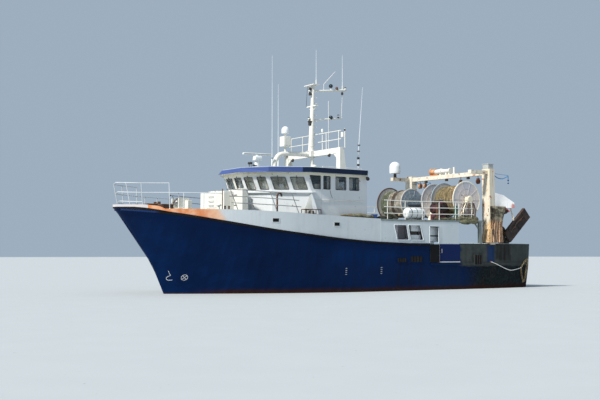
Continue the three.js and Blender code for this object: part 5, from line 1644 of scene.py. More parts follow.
            made.tube([(2.12, side * 2.905, 5.12), (2.08, side * 2.905, 4.95), (1.98, side * 2.905, 4.72)],
                      0.01, 6, 0)
        made.piece("house_fittings", "dark white dark", "dark_trim")

    def fairings(self):
        """Slats over the fore face of each corner casing."""
        foot = [Vector((x, y, 3.9)) for x, y in ((3.66, 2.65), (3.48, 3.34))]
        tip = [Vector((x, y, 4.9)) for x, y in ((3.35, 2.84), (3.335, 2.93))]
        lines = []
        for side in (1, -1):
            for share in np.linspace(0.02, 0.94, 22):
                lines.append(sided([foot[k].lerp(tip[k], share) for k in (0, 1)], side))
        bars("casing_slats", lines, "grey", "galvanised_steel", 0.018, 6)

    def side_deck(self):
        """Rusty rack, heap of net and blue tub on the port side deck."""
        rack = [[(3.98, 3.42, z), (3.06, 3.42, z), (3.06, 3.06, z), (3.98, 3.06, z), (3.98, 3.42, z)]
                for z in (3.86, 4.1)]
        rack += [[(x, y, 3.82), (x, y, 4.1)] for x in (3.06, 3.36, 3.67, 3.98) for y in (3.42, 3.06)]
        bars("deck_rack", rack, "rusty", "rusty_steel", 0.022, 6)
        heap("net_heap", ((1.05, 3.28, 3.84, 0.42, 0.2, 0.11), (0.5, 3.26, 3.83, 0.45, 0.22, 0.15),
                          (-0.02, 3.3, 3.82, 0.34, 0.18, 0.1), (1.5, 3.27, 3.85, 0.22, 0.17, 0.07)),
             "pile_net", 0.05, 7.0, 3.0)
        tub = Shape().turned(((0, 0), (0.13, 0), (0.17, 0.2), (0.18, 0.2), (0.18, 0.215), (0.16, 0.215),
                              (0.125, 0.02), (0, 0.02)), (-0.42, 3.28, 3.74), UP, 20)
        tub.piece("blue_tub", "blue", "navy_paint")


# Foredeck

class TRAWLER_OT_foredeck(bpy.types.Operator):
    """Windlass with its chain, companion trunk, bitts, lockers, vents and posts of the foredeck"""
    bl_idname = "trawler.foredeck"
    bl_label = "Foredeck"

    def execute(self, context):
        dress((("windlass_frame", "white", 0.012), ("fore_trunk", "white", 0.02),
               ("mooring_bitts", "rusty", 0.012)))
        neck = curved([(5.3, 2.9, 3.86), (5.3, 2.9, 4.3), (5.3, 2.9, 4.7), (5.25, 2.9, 4.83),
                       (5.15, 2.9, 4.865), (5.07, 2.9, 4.82), (5.05, 2.9, 4.7)], 5)
        bars("swan_neck", [neck], "rusty", "rusty_steel", 0.043, 14, "swan_neck_vent")
        self.windlass()
        self.trunk()
        self.deck_gear()
        self.bow_coaming()
        return {"FINISHED"}

    def bow_coaming(self):
        """Low plate that stands on the sheer round the bow, over a black foot, and the deck inside it."""
        # Columns: x, height of the black foot, height of the plate
        levels = np.array(((10.5, 0.0, 0.0), (10.95, 0.04, 0.17), (11.5, 0.08, 0.15), (11.9, 0.085, 0.11),
                           (12.2, 0.06, 0.11), (12.56, 0.03, 0.11)))
        port = [Vector((x, half_breadth(x, sheer(x)) + 0.005, sheer(x))) for x in np.linspace(10.5, 12.5, 21)]
        line = [*port, Vector((12.55, 0, sheer(12.5))), *sided(reversed(port), -1)]
        rows = []
        for i, p in enumerate(line):
            along = line[min(i + 1, len(line) - 1)] - line[max(i - 1, 0)]
            inward = Vector((along.y, -along.x, 0)).normalized() * 0.06
            foot, plate = (float(np.interp(p.x, levels[:, 0], levels[:, k])) for k in (1, 2))
            rows.append([p + Vector((0, 0, z)) for z in (-0.03, foot, foot + plate)]
                        + [p + inward + Vector((0, 0, z)) for z in (foot + plate, -0.03)])
        made = Shape().grid(rows, 0, True, True, lambda r, i: 0 if i == 0 else 1 if line[r].x > 11.35 else 2)
        deck = []
        for p in port[:-1]:
            inner = p.y - 0.03
            deck.append([Vector((p.x, y, p.z + z)) for y, z in ((inner, 0.008), (0, 0.03), (-inner, 0.008),
                                                                (-inner, -0.03), (inner, -0.03))])
        made.grid(deck, 3, True, True)
        made.piece("bow_coaming", "black lilac strake deck", "white_paint")

    def windlass(self):
        half = [(0.0, 0.36), (0.066, 0.36), (0.07, 0.355), (0.07, 0.262), (0.22, 0.252), (0.23, 0.245),
                (0.23, 0.226), (0.22, 0.22), (0.15, 0.2), (0.118, 0.16), (0.105, 0.08)]
        profile = [(r, -y) for r, y in half] + [(r, y) for r, y in reversed(half)]
        drum = Shape().turned(profile, WINDLASS, ACROSS, 36)
        for k in range(6):
            turned = Matrix.Translation(WINDLASS) @ Matrix.Rotation(math.radians(60 * k), 4, "Y")
            for y in (-0.1, 0.1):
                drum.box((0.095, y - 0.035, -0.022), (0.155, y + 0.035, 0.022), 0, turned)
        drum.piece("wildcat", "galvanised", "galvanised_steel", "windlass_drum", "windlass")
        line = curved([(8.98, 0.0, 4.6), (9.16, 0.0, 4.605), (9.38, 0.0, 4.45), (9.6, 0.0, 4.24),
                       (9.76, 0.0, 4.04)], 5)
        chain("anchor_chain", line, 0.12, 0.022)
        pipe = Shape().turned(((0.07, -0.03), (0.12, -0.03), (0.13, 0.0), (0.12, 0.03), (0.085, 0.04),
                               (0.07, 0.02)),
                              (9.78, 0, 4.04), (0.2, 0, 1), 20, closed=True)
        pipe.tube([(8.88, -0.4, 4.56), (8.88, -0.56, 4.9)], 0.016, 8, 1)
        pipe.ball((8.88, -0.56, 4.92), 0.03, 1)
        pipe.piece("windlass_fittings", "rusty galvanised", "galvanised_steel")

    def trunk(self):
        made = Shape()
        made.box((6.2, -0.7, 4.995), (7.1, 0.2, 5.06), 0)
        for y in (-0.55, 0.05):
            made.tube([(7.08, y, 5.03), (7.16, y, 5.03), (7.16, y, 5.1)], 0.014, 8, 1)
        for side in (1, -1):
            made.box((6.3, side * 1.2 - 0.008, 4.12), (6.95, side * 1.2 + 0.012, 4.88), 0)
            for z in (4.25, 4.5, 4.75):
                made.box((6.28, side * 1.2 - 0.01, z - 0.02), (6.36, side * 1.2 + 0.03, z + 0.02), 1)
            made.turned(((0, 0), (0.055, 0), (0.055, 0.24), (0.12, 0.25), (0.13, 0.28), (0.1, 0.33),
                         (0, 0.35)),
                        (7.75, side * 1.5, 3.99), UP, 20, 0)
        made.box((7.298, -0.5, 4.2), (7.312, 0.5, 4.85), 0)
        made.box((6.42, 0.68, 4.15), (6.71, 0.705, 4.95), 0)
        for z in (4.3, 4.8):
            made.box((6.728, 1.2, z - 0.03), (6.745, 1.5, z + 0.03), 1)
        made.piece("trunk_fittings", "white galvanised", "white_paint", bevel=0.004)
        rungs = [[(x, y, 4.1 + 0.22 * k) for x, y in ((7.32, -0.22), (7.37, -0.22), (7.37, 0.22),
                                                      (7.32, 0.22))]
                 for k in range(4)]
        bars("trunk_rungs", rungs, "galvanised", "galvanised_steel", 0.012)

    def deck_gear(self):
        made = Shape()
        # Gear lockers between the rails. Columns: aft end, fore end, starboard side, port side
        for x0, x1, y0, y1 in ((10.75, 11.3, 0.42, 1.0), (9.7, 10.35, -1.15, -0.5), (9.95, 10.5, 0.5, 1.05)):
            made.box((x0, y0, 4.0), (x1, y1, 4.24), 2)
            made.box((x0 - 0.02, y0 - 0.02, 4.24), (x1 + 0.02, y1 + 0.02, 4.27), 3)
        for side in (1, -1):
            for x, y in ((11.85, 0.34), (11.62, 0.56)):
                made.turned(((0, -0.14), (0.055, -0.14), (0.05, 0.04), (0.07, 0.06), (0.06, 0.09), (0, 0.09)),
                            (x, side * y, 4.17), UP, 16, 1)
            made.box((11.52, side * 0.45 - 0.22, 4.02), (11.95, side * 0.45 + 0.22, 4.055), 1)
            for x in (8.0, 3.6, -0.2):
                y = half_breadth(x, sheer(x)) - 0.24
                z = max(deck_edge(x), sheer(x)) - 0.01
                for out in (-0.11, 0.11):
                    made.turned(((0, 0), (0.045, 0), (0.04, 0.15), (0.055, 0.16), (0.055, 0.18), (0, 0.185)),
                                (x + out, side * y, z), UP, 12, 1)
                made.box((x - 0.2, side * y - 0.06, z), (x + 0.2, side * y + 0.06, z + 0.015), 1)
            foot = half_breadth(8.27, sheer(8.27)) - 0.12
            made.post((8.27, side * foot, 3.9), 4.9, 0.024, 8, 2)
            made.tube([(8.27, side * foot, 4.9), (8.22, side * (foot - 0.08), 4.96)], 0.03, 8, 2)
        made.piece("deck_gear", "white rusty brown lid_brown", "white_paint", bevel=0.006)


# Roof

class TRAWLER_OT_mast(bpy.types.Operator):
    """Mast portal, mast with arms, lamps and insulators, bent leg, radar and whips"""
    bl_idname = "trawler.mast"
    bl_label = "Mast and roof gear"

    def execute(self, context):
        self.portal()
        self.column()
        self.leg()
        self.radar()
        self.whips()
        self.roof_gear()
        return {"FINISHED"}

    def portal(self):
        """Tapered legs under a beam, the pad that carries the mast, and a lamp post at the port end."""
        foot = low("mast_portal").z
        made = Shape()
        for side in (1, -1):
            rows = []
            for z, long in ((foot, 0.4), (7.15, 0.28), (7.4, 0.26)):
                rows.append([(x, side * y, z) for x, y in ((1.25, 2.25), (1.25, 2.58), (1.25 - long, 2.58),
                                                           (1.25 - long, 2.25))])
            made.grid(rows, 0, True, True)
            made.prism([(1.23, side * 2.25, 7.13), (1.23, side * 1.95, 7.13), (1.23, side * 2.25, 6.86)],
                       (-0.02, 0, 0))
        made.box((0.99, -2.4, 7.11), (1.23, 2.4, 7.4), 0)
        made.box((0.93, -0.26, 7.11), (1.45, 0.26, 7.4), 0)
        made.post((1.2, 0, foot), 7.15, 0.09, 20)
        made.box((0.9, 2.44, 7.385), (1.14, 2.6, 7.405), 0)
        made.post((0.93, 2.57, 7.4), 8.4, 0.022, 10)
        made.box((0.95, 2.4, 7.94), (1.06, 2.57, 8.19), 0)
        made.box((1.06, 2.42, 7.96), (1.064, 2.55, 8.17), 1)
        made.box((0.91, 2.53, 8.26), (0.96, 2.6, 8.36), 2)
        made.piece("portal_frame", "white lamp_glass dark", "white_paint", "mast_portal", bevel=0.012)

    def column(self):
        made = Shape().tube([(1.256, 0, 7.37), (1.188, 0, 9.2), (1.12, 0, 11.0)], 0.163, 28, 0, last=0.08)
        made.points = [p if p.z > 7.5 else Vector((p.x, p.y, max(p.z, 7.4))) for p in made.points]
        made.turned(((0, 0), (0.24, 0), (0.24, 0.02), (0.2, 0.03), (0, 0.03)), (1.252, 0, 7.4), UP, 28)
        made.tube([(1.15, 0, 10.66), (-1.1, 0, 10.93)], 0.058, 16, 0)
        made.tube([(1.15, 0, 9.09), (-0.82, 0, 9.35)], 0.053, 16, 0, last=0.04)
        made.box((1.0, -0.45, 10.952), (1.4, 0.45, 10.988), 0)
        made.box((1.08, -0.42, 9.81), (1.26, 0.42, 9.865), 0)
        for y in (0.42, -0.42):
            made.tube([(1.12, 0, 10.62), (1.2, y, 10.95)], 0.014, 8, 0)
            made.tube([(1.15, 0, 9.55), (1.17, y * 0.93, 9.81)], 0.014, 8, 0)
        for x, z, foot_z in ((-0.06, 9.33, 9.26), (-0.06, 11.06, 10.8)):
            made.ball((x, 0, z), 0.115, 1)
            made.post((x, 0, foot_z), z, 0.018, 8)
        made.turned(((0, 0), (0.055, 0), (0.075, 0.05), (0.075, 0.16), (0.05, 0.2), (0, 0.2)),
                    (-0.46, 0, 10.85), UP, 16, 2)
        for x, z in ((-0.56, 9.44), (-1.05, 11.0)):
            self.lantern(made, (x, 0, z))
        for x, z in ((1.36, 10.66), (1.4, 9.15)):
            made.box((min(x, 1.15), -0.03, z - 0.1), (x + 0.06, 0.03, z - 0.075), 0)
            self.lantern(made, (x, 0, z))
        made.tube([(0.41, 0, 10.76), (0.41, 0, 11.12), (-0.37, 0, 11.9)], 0.014, 8, 0)
        for y, x, top in ((0.33, 1.15, 12.85), (0.0, -0.85, 12.85)):
            foot = 10.98 if y else 10.9
            made.post((x, y, foot - 0.02), foot + 0.25, 0.03, 12)
            made.post((x, y, foot + 0.2), top, 0.017, 10, 3, 0.006)
        for z in (10.42, 10.68):
            made.turned(((0, 0), (0.07, 0), (0.075, 0.02), (0.07, 0.15), (0.04, 0.17), (0, 0.17)),
                        (1.32, 0, z), UP, 18, 5)
            made.box((1.12, -0.02, z - 0.02), (1.34, 0.02, z), 0)
        made.box((1.22, -0.11, 8.98), (1.4, 0.11, 9.03), 5)
        made.box((1.26, -0.09, 8.8), (1.38, 0.09, 8.98), 5)
        made.tube([(-0.835, 0, 10.9), (-0.835, 0, 10.78)], 0.014, 8, 5)
        made.turned(((0, -0.08), (0.06, -0.07), (0.065, 0.05), (0.02, 0.08), (0, 0.08)), (-0.835, 0, 10.72),
                    UP, 14, 5)
        made.tube([(-0.85, 0, 10.88), (-0.78, 0, 9.35)], 0.014, 8, 0)
        made.tube([(1.2, -0.42, 10.96), (1.28, -0.42, 9.83)], 0.01, 6, 5)
        made.piece("mast_column", "white screen brown fibreglass lamp_glass dark", "white_paint", "mast")
        rungs = []
        for z in np.arange(7.75, 10.5, 0.32):
            x = lerp(1.256, 1.12, (z - 7.4) / 3.6) - lerp(0.15, 0.09, (z - 7.4) / 3.6)
            rungs.append([(x, -0.04, z), (x - 0.1, -0.11, z), (x - 0.1, 0.11, z), (x, 0.04, z)])
        bars("mast_rungs", rungs, "white", "white_paint", 0.011, 6)

    def lantern(self, made, centre):
        made.turned(((0, -0.09), (0.06, -0.09), (0.065, -0.05), (0.05, -0.045)), centre, UP, 14, 5)
        made.turned(((0.05, -0.045), (0.055, 0.0), (0.05, 0.05)), centre, UP, 14, 4)
        made.turned(((0.05, 0.05), (0.068, 0.055), (0.05, 0.085), (0, 0.1)), centre, UP, 14, 5)

    def leg(self):
        bend = curved([(3.62, 0, 6.2), (3.6, 0, 6.45), (3.56, 0, 6.7), (3.4, 0, 7.0), (3.15, 0, 7.14),
                       (2.7, 0, 7.19), (2.1, 0, 7.205), (1.44, 0, 7.22)], 6)
        made = Shape().tube(bend, 0.122, 24)
        made.turned(((0, 0), (0.19, 0), (0.19, 0.02), (0, 0.02)), (3.62, 0, 6.232), UP, 24)
        made.post((2.91, 0, 6.2), 8.26, 0.055, 18)
        made.box((2.7, -0.22, 7.56), (3.12, 0.22, 8.08), 0)
        made.box((2.74, 0.22, 7.6), (3.08, 0.232, 8.04), 0)
        dome = [(0, -0.17), (0.2, -0.17), (0.205, -0.15), (0.205, 0.0)]
        dome += [(0.204 * math.cos(a), 0.204 * math.sin(a)) for a in np.linspace(0.15, math.pi / 2, 9)]
        made.turned(dome, (2.91, 0, 8.42), UP, 32, 1)
        made.tube([(2.91, 0, 6.9), (2.91, 0.16, 6.9), (2.91, 0.16, 6.98)], 0.02, 8, 2)
        made.ball((2.91, 0.16, 7.0), 0.05, 2)
        made.piece("mast_brace", "white fibreglass dark", "white_paint", "mast_leg", bevel=0.008)

    def radar(self):
        profile = [(0, -0.73), (0.21, -0.73), (0.21, -0.71), (0.16, -0.69), (0.13, -0.3), (0.15, -0.22)]
        made = Shape().turned(profile, RADAR, UP, 24)
        rows = []
        for x, wide, foot, top in ((4.42, 0.1, 6.74, 6.9), (4.46, 0.17, 6.7, 6.95), (4.65, 0.18, 6.69, 6.96),
                                   (4.84, 0.17, 6.7, 6.95), (4.88, 0.12, 6.73, 6.92)):
            rows.append([(x, wide * across, lerp(foot, top, 0.5 + 0.5 * up))
                         for across, up in flattened(24, 0.5)])
        made.grid(rows, 0, True, True)
        made.piece("radar_stand", "fibreglass", "white_paint", "radar_pedestal")
        place = Matrix.Translation(RADAR) @ Matrix.Rotation(math.radians(-9), 4, "Z")
        rows = []
        for x, share in ((-0.8, 0.75), (-0.78, 0.95), (-0.2, 1), (0.2, 1), (0.5, 1.0), (0.78, 0.95),
                         (0.8, 0.75)):
            rows.append([place @ Vector((x, 0.058 * share * across, 0.09 + 0.058 * share * up))
                         for across, up in flattened(20, 0.6)])
        bar = Shape().grid(rows, 0, True, True)
        bar.turned(((0, 0.001), (0.09, 0.001), (0.085, 0.05), (0, 0.055)), RADAR, UP, 20)
        bar.box((-0.75, 0.0585, 0.06), (0.75, 0.061, 0.12), 1, place)
        bar.piece("radar_bar", "fibreglass grey", "white_paint", "radar_scanner", "radar")

    def whips(self):
        made = Shape()
        for x, y, top in ((2.45, -2.0, 12.8), (2.25, -1.7, 11.2)):
            made.post((x, y, 6.23), 7.1, 0.043, 14)
            made.post((x, y, 7.08), 7.16, 0.03, 12, 1)
            made.post((x, y, 7.1), top, 0.018, 10, 0, 0.006)
        made.box((2.2, -2.05, 6.23), (2.5, -1.65, 6.265), 0)
        made.piece("whips_pair", "fibreglass dark", "white_paint", "whips_starboard")
        port = Shape().post((-0.15, 2.3, 6.23), 7.13, 0.04, 14)
        port.tube([(-0.15, 2.3, 7.1), (-0.45, 2.3, 10.7)], 0.018, 10, 0, last=0.006)
        port.turned(((0, 0), (0.09, 0), (0.09, 0.015), (0.05, 0.03), (0, 0.03)), (-0.15, 2.3, 6.23), UP, 16)
        port.piece("whip_single", "fibreglass", "white_paint", "whip_port")
        disc = Shape().turned(((0.0, -0.03), (0.05, -0.03), (0.085, -0.005), (0.085, 0.005), (0.05, 0.02),
                               (0.0, 0.02)),
                              (0, 0, 0), UP, 14)
        spots = [(-0.15 - max(0, z - 7.1) * 0.0833, 2.3, z) for z in (6.55, 6.6, 6.9, 6.95, 7.3, 7.62)]
        rows_of("whip_insulators", spots, disc, "dark", "dark_trim")

    def roof_gear(self):
        made = Shape()
        for y in (0.04, 0.22):
            made.post((5.15, y, 6.2), 6.5, 0.018, 10)
            made.turned(((0, -0.07), (0.04, -0.065), (0.06, -0.01), (0.062, 0.05), (0.055, 0.06), (0, 0.06)),
                        (5.15, y, 6.55), (1, 0, 0.05), 18, 0)
        for x in (5.02, 4.95):
            made.post((x, 0.36, 6.2), 6.4, 0.014, 8)
            made.tube([(x - 0.08, 0.36, 6.41), (x + 0.12, 0.36, 6.43)], 0.018, 12, 0, last=0.04)
        made.post((1.05, 1.3, 7.38), 9.97, 0.012, 8, 1)
        made.post((1.0, 0.68, 7.38), 8.4, 0.022, 10, 1)
        made.turned(((0, -0.08), (0.06, -0.08), (0.065, 0.04), (0.03, 0.1), (0, 0.1)), (1.0, 0.68, 8.46), UP,
                    14, 2)
        for x, y in ((2.0, 1.3), (3.4, -1.2), (1.9, -0.9)):
            made.turned(((0, 0), (0.1, 0), (0.1, 0.18), (0.17, 0.2), (0.17, 0.26), (0.08, 0.32), (0, 0.33)),
                        (x, y, 6.22), UP, 20, 1)
        for side in (1, -1):
            made.box((0.99, side * 2.35 - 0.07, 6.95), (1.02, side * 2.35 + 0.07, 7.06), 0)
            made.turned(((0, -0.08), (0.06, -0.08), (0.08, 0.05), (0, 0.06)), (1.3, side * 1.7, 7.04),
                        (0.5, 0, -0.8), 14, 0)
            made.tube([(1.22, side * 1.7, 7.15), (1.3, side * 1.7, 7.08)], 0.015, 8, 0)
        made.piece("roof_gear", "dark white lamp_glass", "dark_trim")
        lines = [[(x, side * 2.9, z) for x, z in ((0.1, 6.23), (0.1, 6.32), (2.6, 6.32), (2.6, 6.23))]
                 for side in (1, -1)]
        bars("roof_grab_rail", lines, "white", "white_paint", 0.014)


# Net drums

def on_drum(a, y, radius, seed):
    """A place on a wound net, with the lumps of its winding."""
    lump = noise.noise(Vector((math.cos(a) * 2.2 + seed, y * 1.6, math.sin(a) * 2.2)))
    r = radius + 0.06 * lump
    return Vector((DRUM_X + r * math.cos(a), y, DRUM_Z + r * math.sin(a)))


def wound(name, start, end, radius, look, body, seed, replaces=()):
    """A winding of net between two places along the drum, in lumps and folds."""
    rows = []
    wide = max(int((end - start) / 0.045), 6)
    angles = [2 * math.pi * i / 110 for i in range(110)]
    for k in range(wide + 1):
        y = lerp(start, end, k / wide)
        edge = min(k, wide - k) / wide
        swell = radius - 0.07 * (1 - min(1, edge * 6)) ** 2 + 0.03 * math.sin(k * 2.4 + seed)
        rows.append([on_drum(a, y, swell - 0.045, seed) for a in angles])
    inner = CORE_RADIUS + 0.006
    core = [[(DRUM_X + inner * math.cos(a), y, DRUM_Z + inner * math.sin(a)) for a in angles]
            for y in (start, end)]
    skin = Shape().grid([core[0], *rows, core[1], core[0]], round_rows=True)
    netted(name, skin, look, 0.02, 9.0, float(seed), replaces=replaces, body=body)


def winding_ropes(name, start, end, look, body, turns, thick, seed):
    """Head ropes that lie in slanting turns on a wound net."""
    line = []
    for k in range(int(turns * 40)):
        y = lerp(start, end, 0.5 - 0.5 * math.cos(math.pi * k / (turns * 40)))
        line.append(on_drum(2 * math.pi * k / 40, y, NET_RADIUS - 0.03 + thick, seed))
    grown_piece(name, [line], "laid_rope", look, "net_twine", (), body, Radius=thick, Lay=0.16, Step=0.05)


class TRAWLER_OT_net_drums(bpy.types.Operator):
    """Net drums with ribbed flanges, wound nets, floats, stands and drive"""
    bl_idname = "trawler.net_drums"
    bl_label = "Net drums"

    def execute(self, context):
        wanted = context.scene.trawler_drums
        dress((("drum_stands", "cream", 0.012), ("drum_motor", "maroon", 0.015)))
        # Columns: body, place, radius, face, rim, inner disc
        flanges = (("drum_starboard", -3.4, 1.04, 0, 1, 3), ("drum_starboard", -1.4, 0.88, 2, 0, 2),
                   ("drum_starboard", 0.6, 1.04, 4, 0, 4), ("drum_port", 1.42, 1.04, 0, 2, 0),
                   ("drum_port", 3.18, 1.04, 4, 5, 4))
        for body, node, span in (("drum_starboard", "net_drum_starboard", (-3.4, 0.6)),
                                 ("drum_port", "net_drum_port", (1.42, 3.18))):
            made = Shape()
            start, end = span
            core = [(0, start - 0.11), (0.088, start - 0.11), (0.088, start), (CORE_RADIUS, start),
                    (CORE_RADIUS, end), (0.088, end), (0.088, end + 0.11), (0, end + 0.11)]
            made.turned(core, DRUM_AXIS, ACROSS, 40, 0)
            for owner, place, outer, face, rim, inner in flanges:
                if owner != body:
                    continue
                for sign in (-1, 1):
                    for start, end, look in ((0.1, 0.6, inner), (0.6, outer - 0.07, face)):
                        y = place + sign * 0.012
                        made.turned([(start, y), (end, y)], DRUM_AXIS, ACROSS, 64, look)
                # Columns: inwards from the edge, half thickness
                edge = [(outer - inwards, place + half) for inwards, half in (
                    (0.07, -0.012), (0.065, -0.025), (0.01, -0.025), (0, -0.015), (0, 0.015), (0.01, 0.025),
                    (0.065, 0.025), (0.07, 0.012))]
                made.turned(edge, DRUM_AXIS, ACROSS, 64, rim)
                for radius in (0.34, 0.62):
                    ring = [(radius + dr, place + dy)
                            for dr, dy in ((-0.02, -0.02), (0.02, -0.02), (0.02, 0.02),
                                           (-0.02, 0.02))]
                    made.turned(ring, DRUM_AXIS, ACROSS, 64, face, closed=True)
                for k in range(wanted.ribs):
                    turn = Matrix.Rotation(2 * math.pi * k / wanted.ribs, 4, "Y")
                    at = Matrix.Translation((DRUM_X, place, DRUM_Z)) @ turn
                    made.box((0.27, -0.024, -0.012), (outer - 0.055, 0.024, 0.012), 0, at)
            made.piece(f"{body}_flanges", "drum brown steel_blue green lilac cream", "galvanised_steel",
                       node, body, 30)
        wound("net_green", -3.372, -2.8, NET_RADIUS, "green_net", "drum_starboard", 1, "net_starboard_1")
        wound("net_cream", -2.8, -1.428, NET_RADIUS, "pale_net", "drum_starboard", 2)
        wound("net_inner", -1.372, 0.572, 0.43, "blue_net", "drum_starboard", 5, "net_starboard_2")
        wound("net_olive", 1.448, 3.152, NET_RADIUS, "olive_net", "drum_port", 7, "net_port")
        winding_ropes("green_head_rope", -3.3, -2.9, "olive_rope", "drum_starboard", 2.2, 0.013, 1)
        winding_ropes("tan_band", 2.78, 3.1, "ochre_rope", "drum_port", 7.4, 0.021, 7)
        winding_ropes("brown_band", -2.36, -2.16, "brown_rope", "drum_starboard", 7.3, 0.018, 2)
        winding_ropes("olive_head_rope", 1.5, 2.9, "olive_rope", "drum_port", 3.4, 0.013, 7)
        self.floats(wanted.float_radius)
        self.drive()
        return {"FINISHED"}

    def floats(self, radius):
        """Floats caught in the windings."""
        one = Shape().ball((0, 0, 0), radius, rings=8, sides=14)
        for body, start, end, seed in (("drum_starboard", -3.2, -1.6, 3), ("drum_port", 1.6, 3.0, 9)):
            spots = []
            for k in range(5):
                a = 2 * math.pi * ((k * 0.38 + 0.11 * seed) % 1)
                y = lerp(start, end, (k * 0.618 + 0.1 * seed) % 1)
                spots.append((DRUM_X + 0.84 * math.cos(a), y, DRUM_Z + 0.84 * math.sin(a)))
            rows_of(f"{body}_floats", spots, one, "float", "net_twine", body)

    def drive(self):
        """Pipes, bolts and cover plates of the drum motor, and bolts on the bearings."""
        made = Shape()
        for y in (2.15, 2.28, 2.41):
            made.tube(curved([(-5.92, y, 4.86), (-5.92, y, 4.93), (-6.05, y, 4.95), (-6.1, y, 4.8),
                              (-6.1, y, 4.16)], 4),
                      0.016, 8, 0)
        for end, sign in ((2.72, 1), (1.88, -1)):
            made.turned(((0, 0.0), (0.2, 0.0), (0.2, sign * 0.03), (0.16, sign * 0.04), (0, sign * 0.04)),
                        (-5.8, end, 4.45), ACROSS, 24, 1)
        for y in (2.3, 2.5):
            made.post((-5.78, y, 4.86), 5.02, 0.01, 6)
            made.ball((-5.78, y, 5.03), 0.022, 1)
        for x, z, long in ((-5.95, 4.62, 0.5), (-5.62, 4.7, 0.42), (-5.78, 4.2, 0.55)):
            made.box((x - 0.06, 2.0, z), (x + 0.06, 2.0 + long, z + 0.12), 1)
        for z in (4.28, 4.5, 4.66):
            made.tube(curved([(-5.5, 2.73, z), (-5.46, 2.78, z - 0.05), (-5.44, 2.79, z - 0.2),
                              (-5.44, 2.75, 3.8)], 4),
                      0.018, 8, 1)
        made.turned(((0, 0), (0.2, 0), (0.21, 0.02), (0.21, 0.09), (0.17, 0.12), (0, 0.12)),
                    (DRUM_X, 3.382, DRUM_Z), ACROSS, 28, 2)
        made.box((-5.44, 2.5, 3.86), (-5.39, 2.66, 4.7), 4)
        made.box((-6.12, 3.32, 3.78), (-5.98, 3.46, 4.55), 5)
        for x, look in ((-6.42, 3), (-6.6, 1), (-7.3, 0), (-7.42, 3)):
            made.tube([(x, 3.5, 3.78), (x, 3.5, 4.4), (x + (DRUM_X - x) * 0.4, 3.5, DRUM_Z - 0.16)], 0.026,
                      8, look)
        for side in (-1, 1):
            hose = [(DRUM_X + side * 0.12, 3.49, DRUM_Z - 0.1), (DRUM_X + side * 0.16, 3.54, DRUM_Z - 0.25),
                    (DRUM_X + side * 0.2, 3.52, DRUM_Z - 0.6), (DRUM_X + side * 0.14, 3.45, 3.88)]
            made.tube(curved(hose, 5), 0.021, 8, 3)
        made.piece("drive_pipes", "galvanised dark cream brown rusty green", "galvanised_steel")
        bolt = Shape().turned(((0, -0.01), (0.018, -0.01), (0.018, 0.012), (0, 0.014)), (0, 0, 0), ACROSS, 6)
        spots = []
        bearings = [(DRUM_X, y, DRUM_Z) for y in (-3.592, 3.382, 0.634, 1.386)]
        for number, radius, middles in ((6, 0.135, bearings), (10, 0.27, [(-5.8, 2.72, 4.45)])):
            for x, y, z in middles:
                angles = (2 * math.pi * k / number for k in range(number))
                spots += [(x + radius * math.cos(a), y, z + radius * math.sin(a)) for a in angles]
        rows_of("bearing_bolts", spots, bolt, "rusty", "rusty_steel")


# Shelter deck

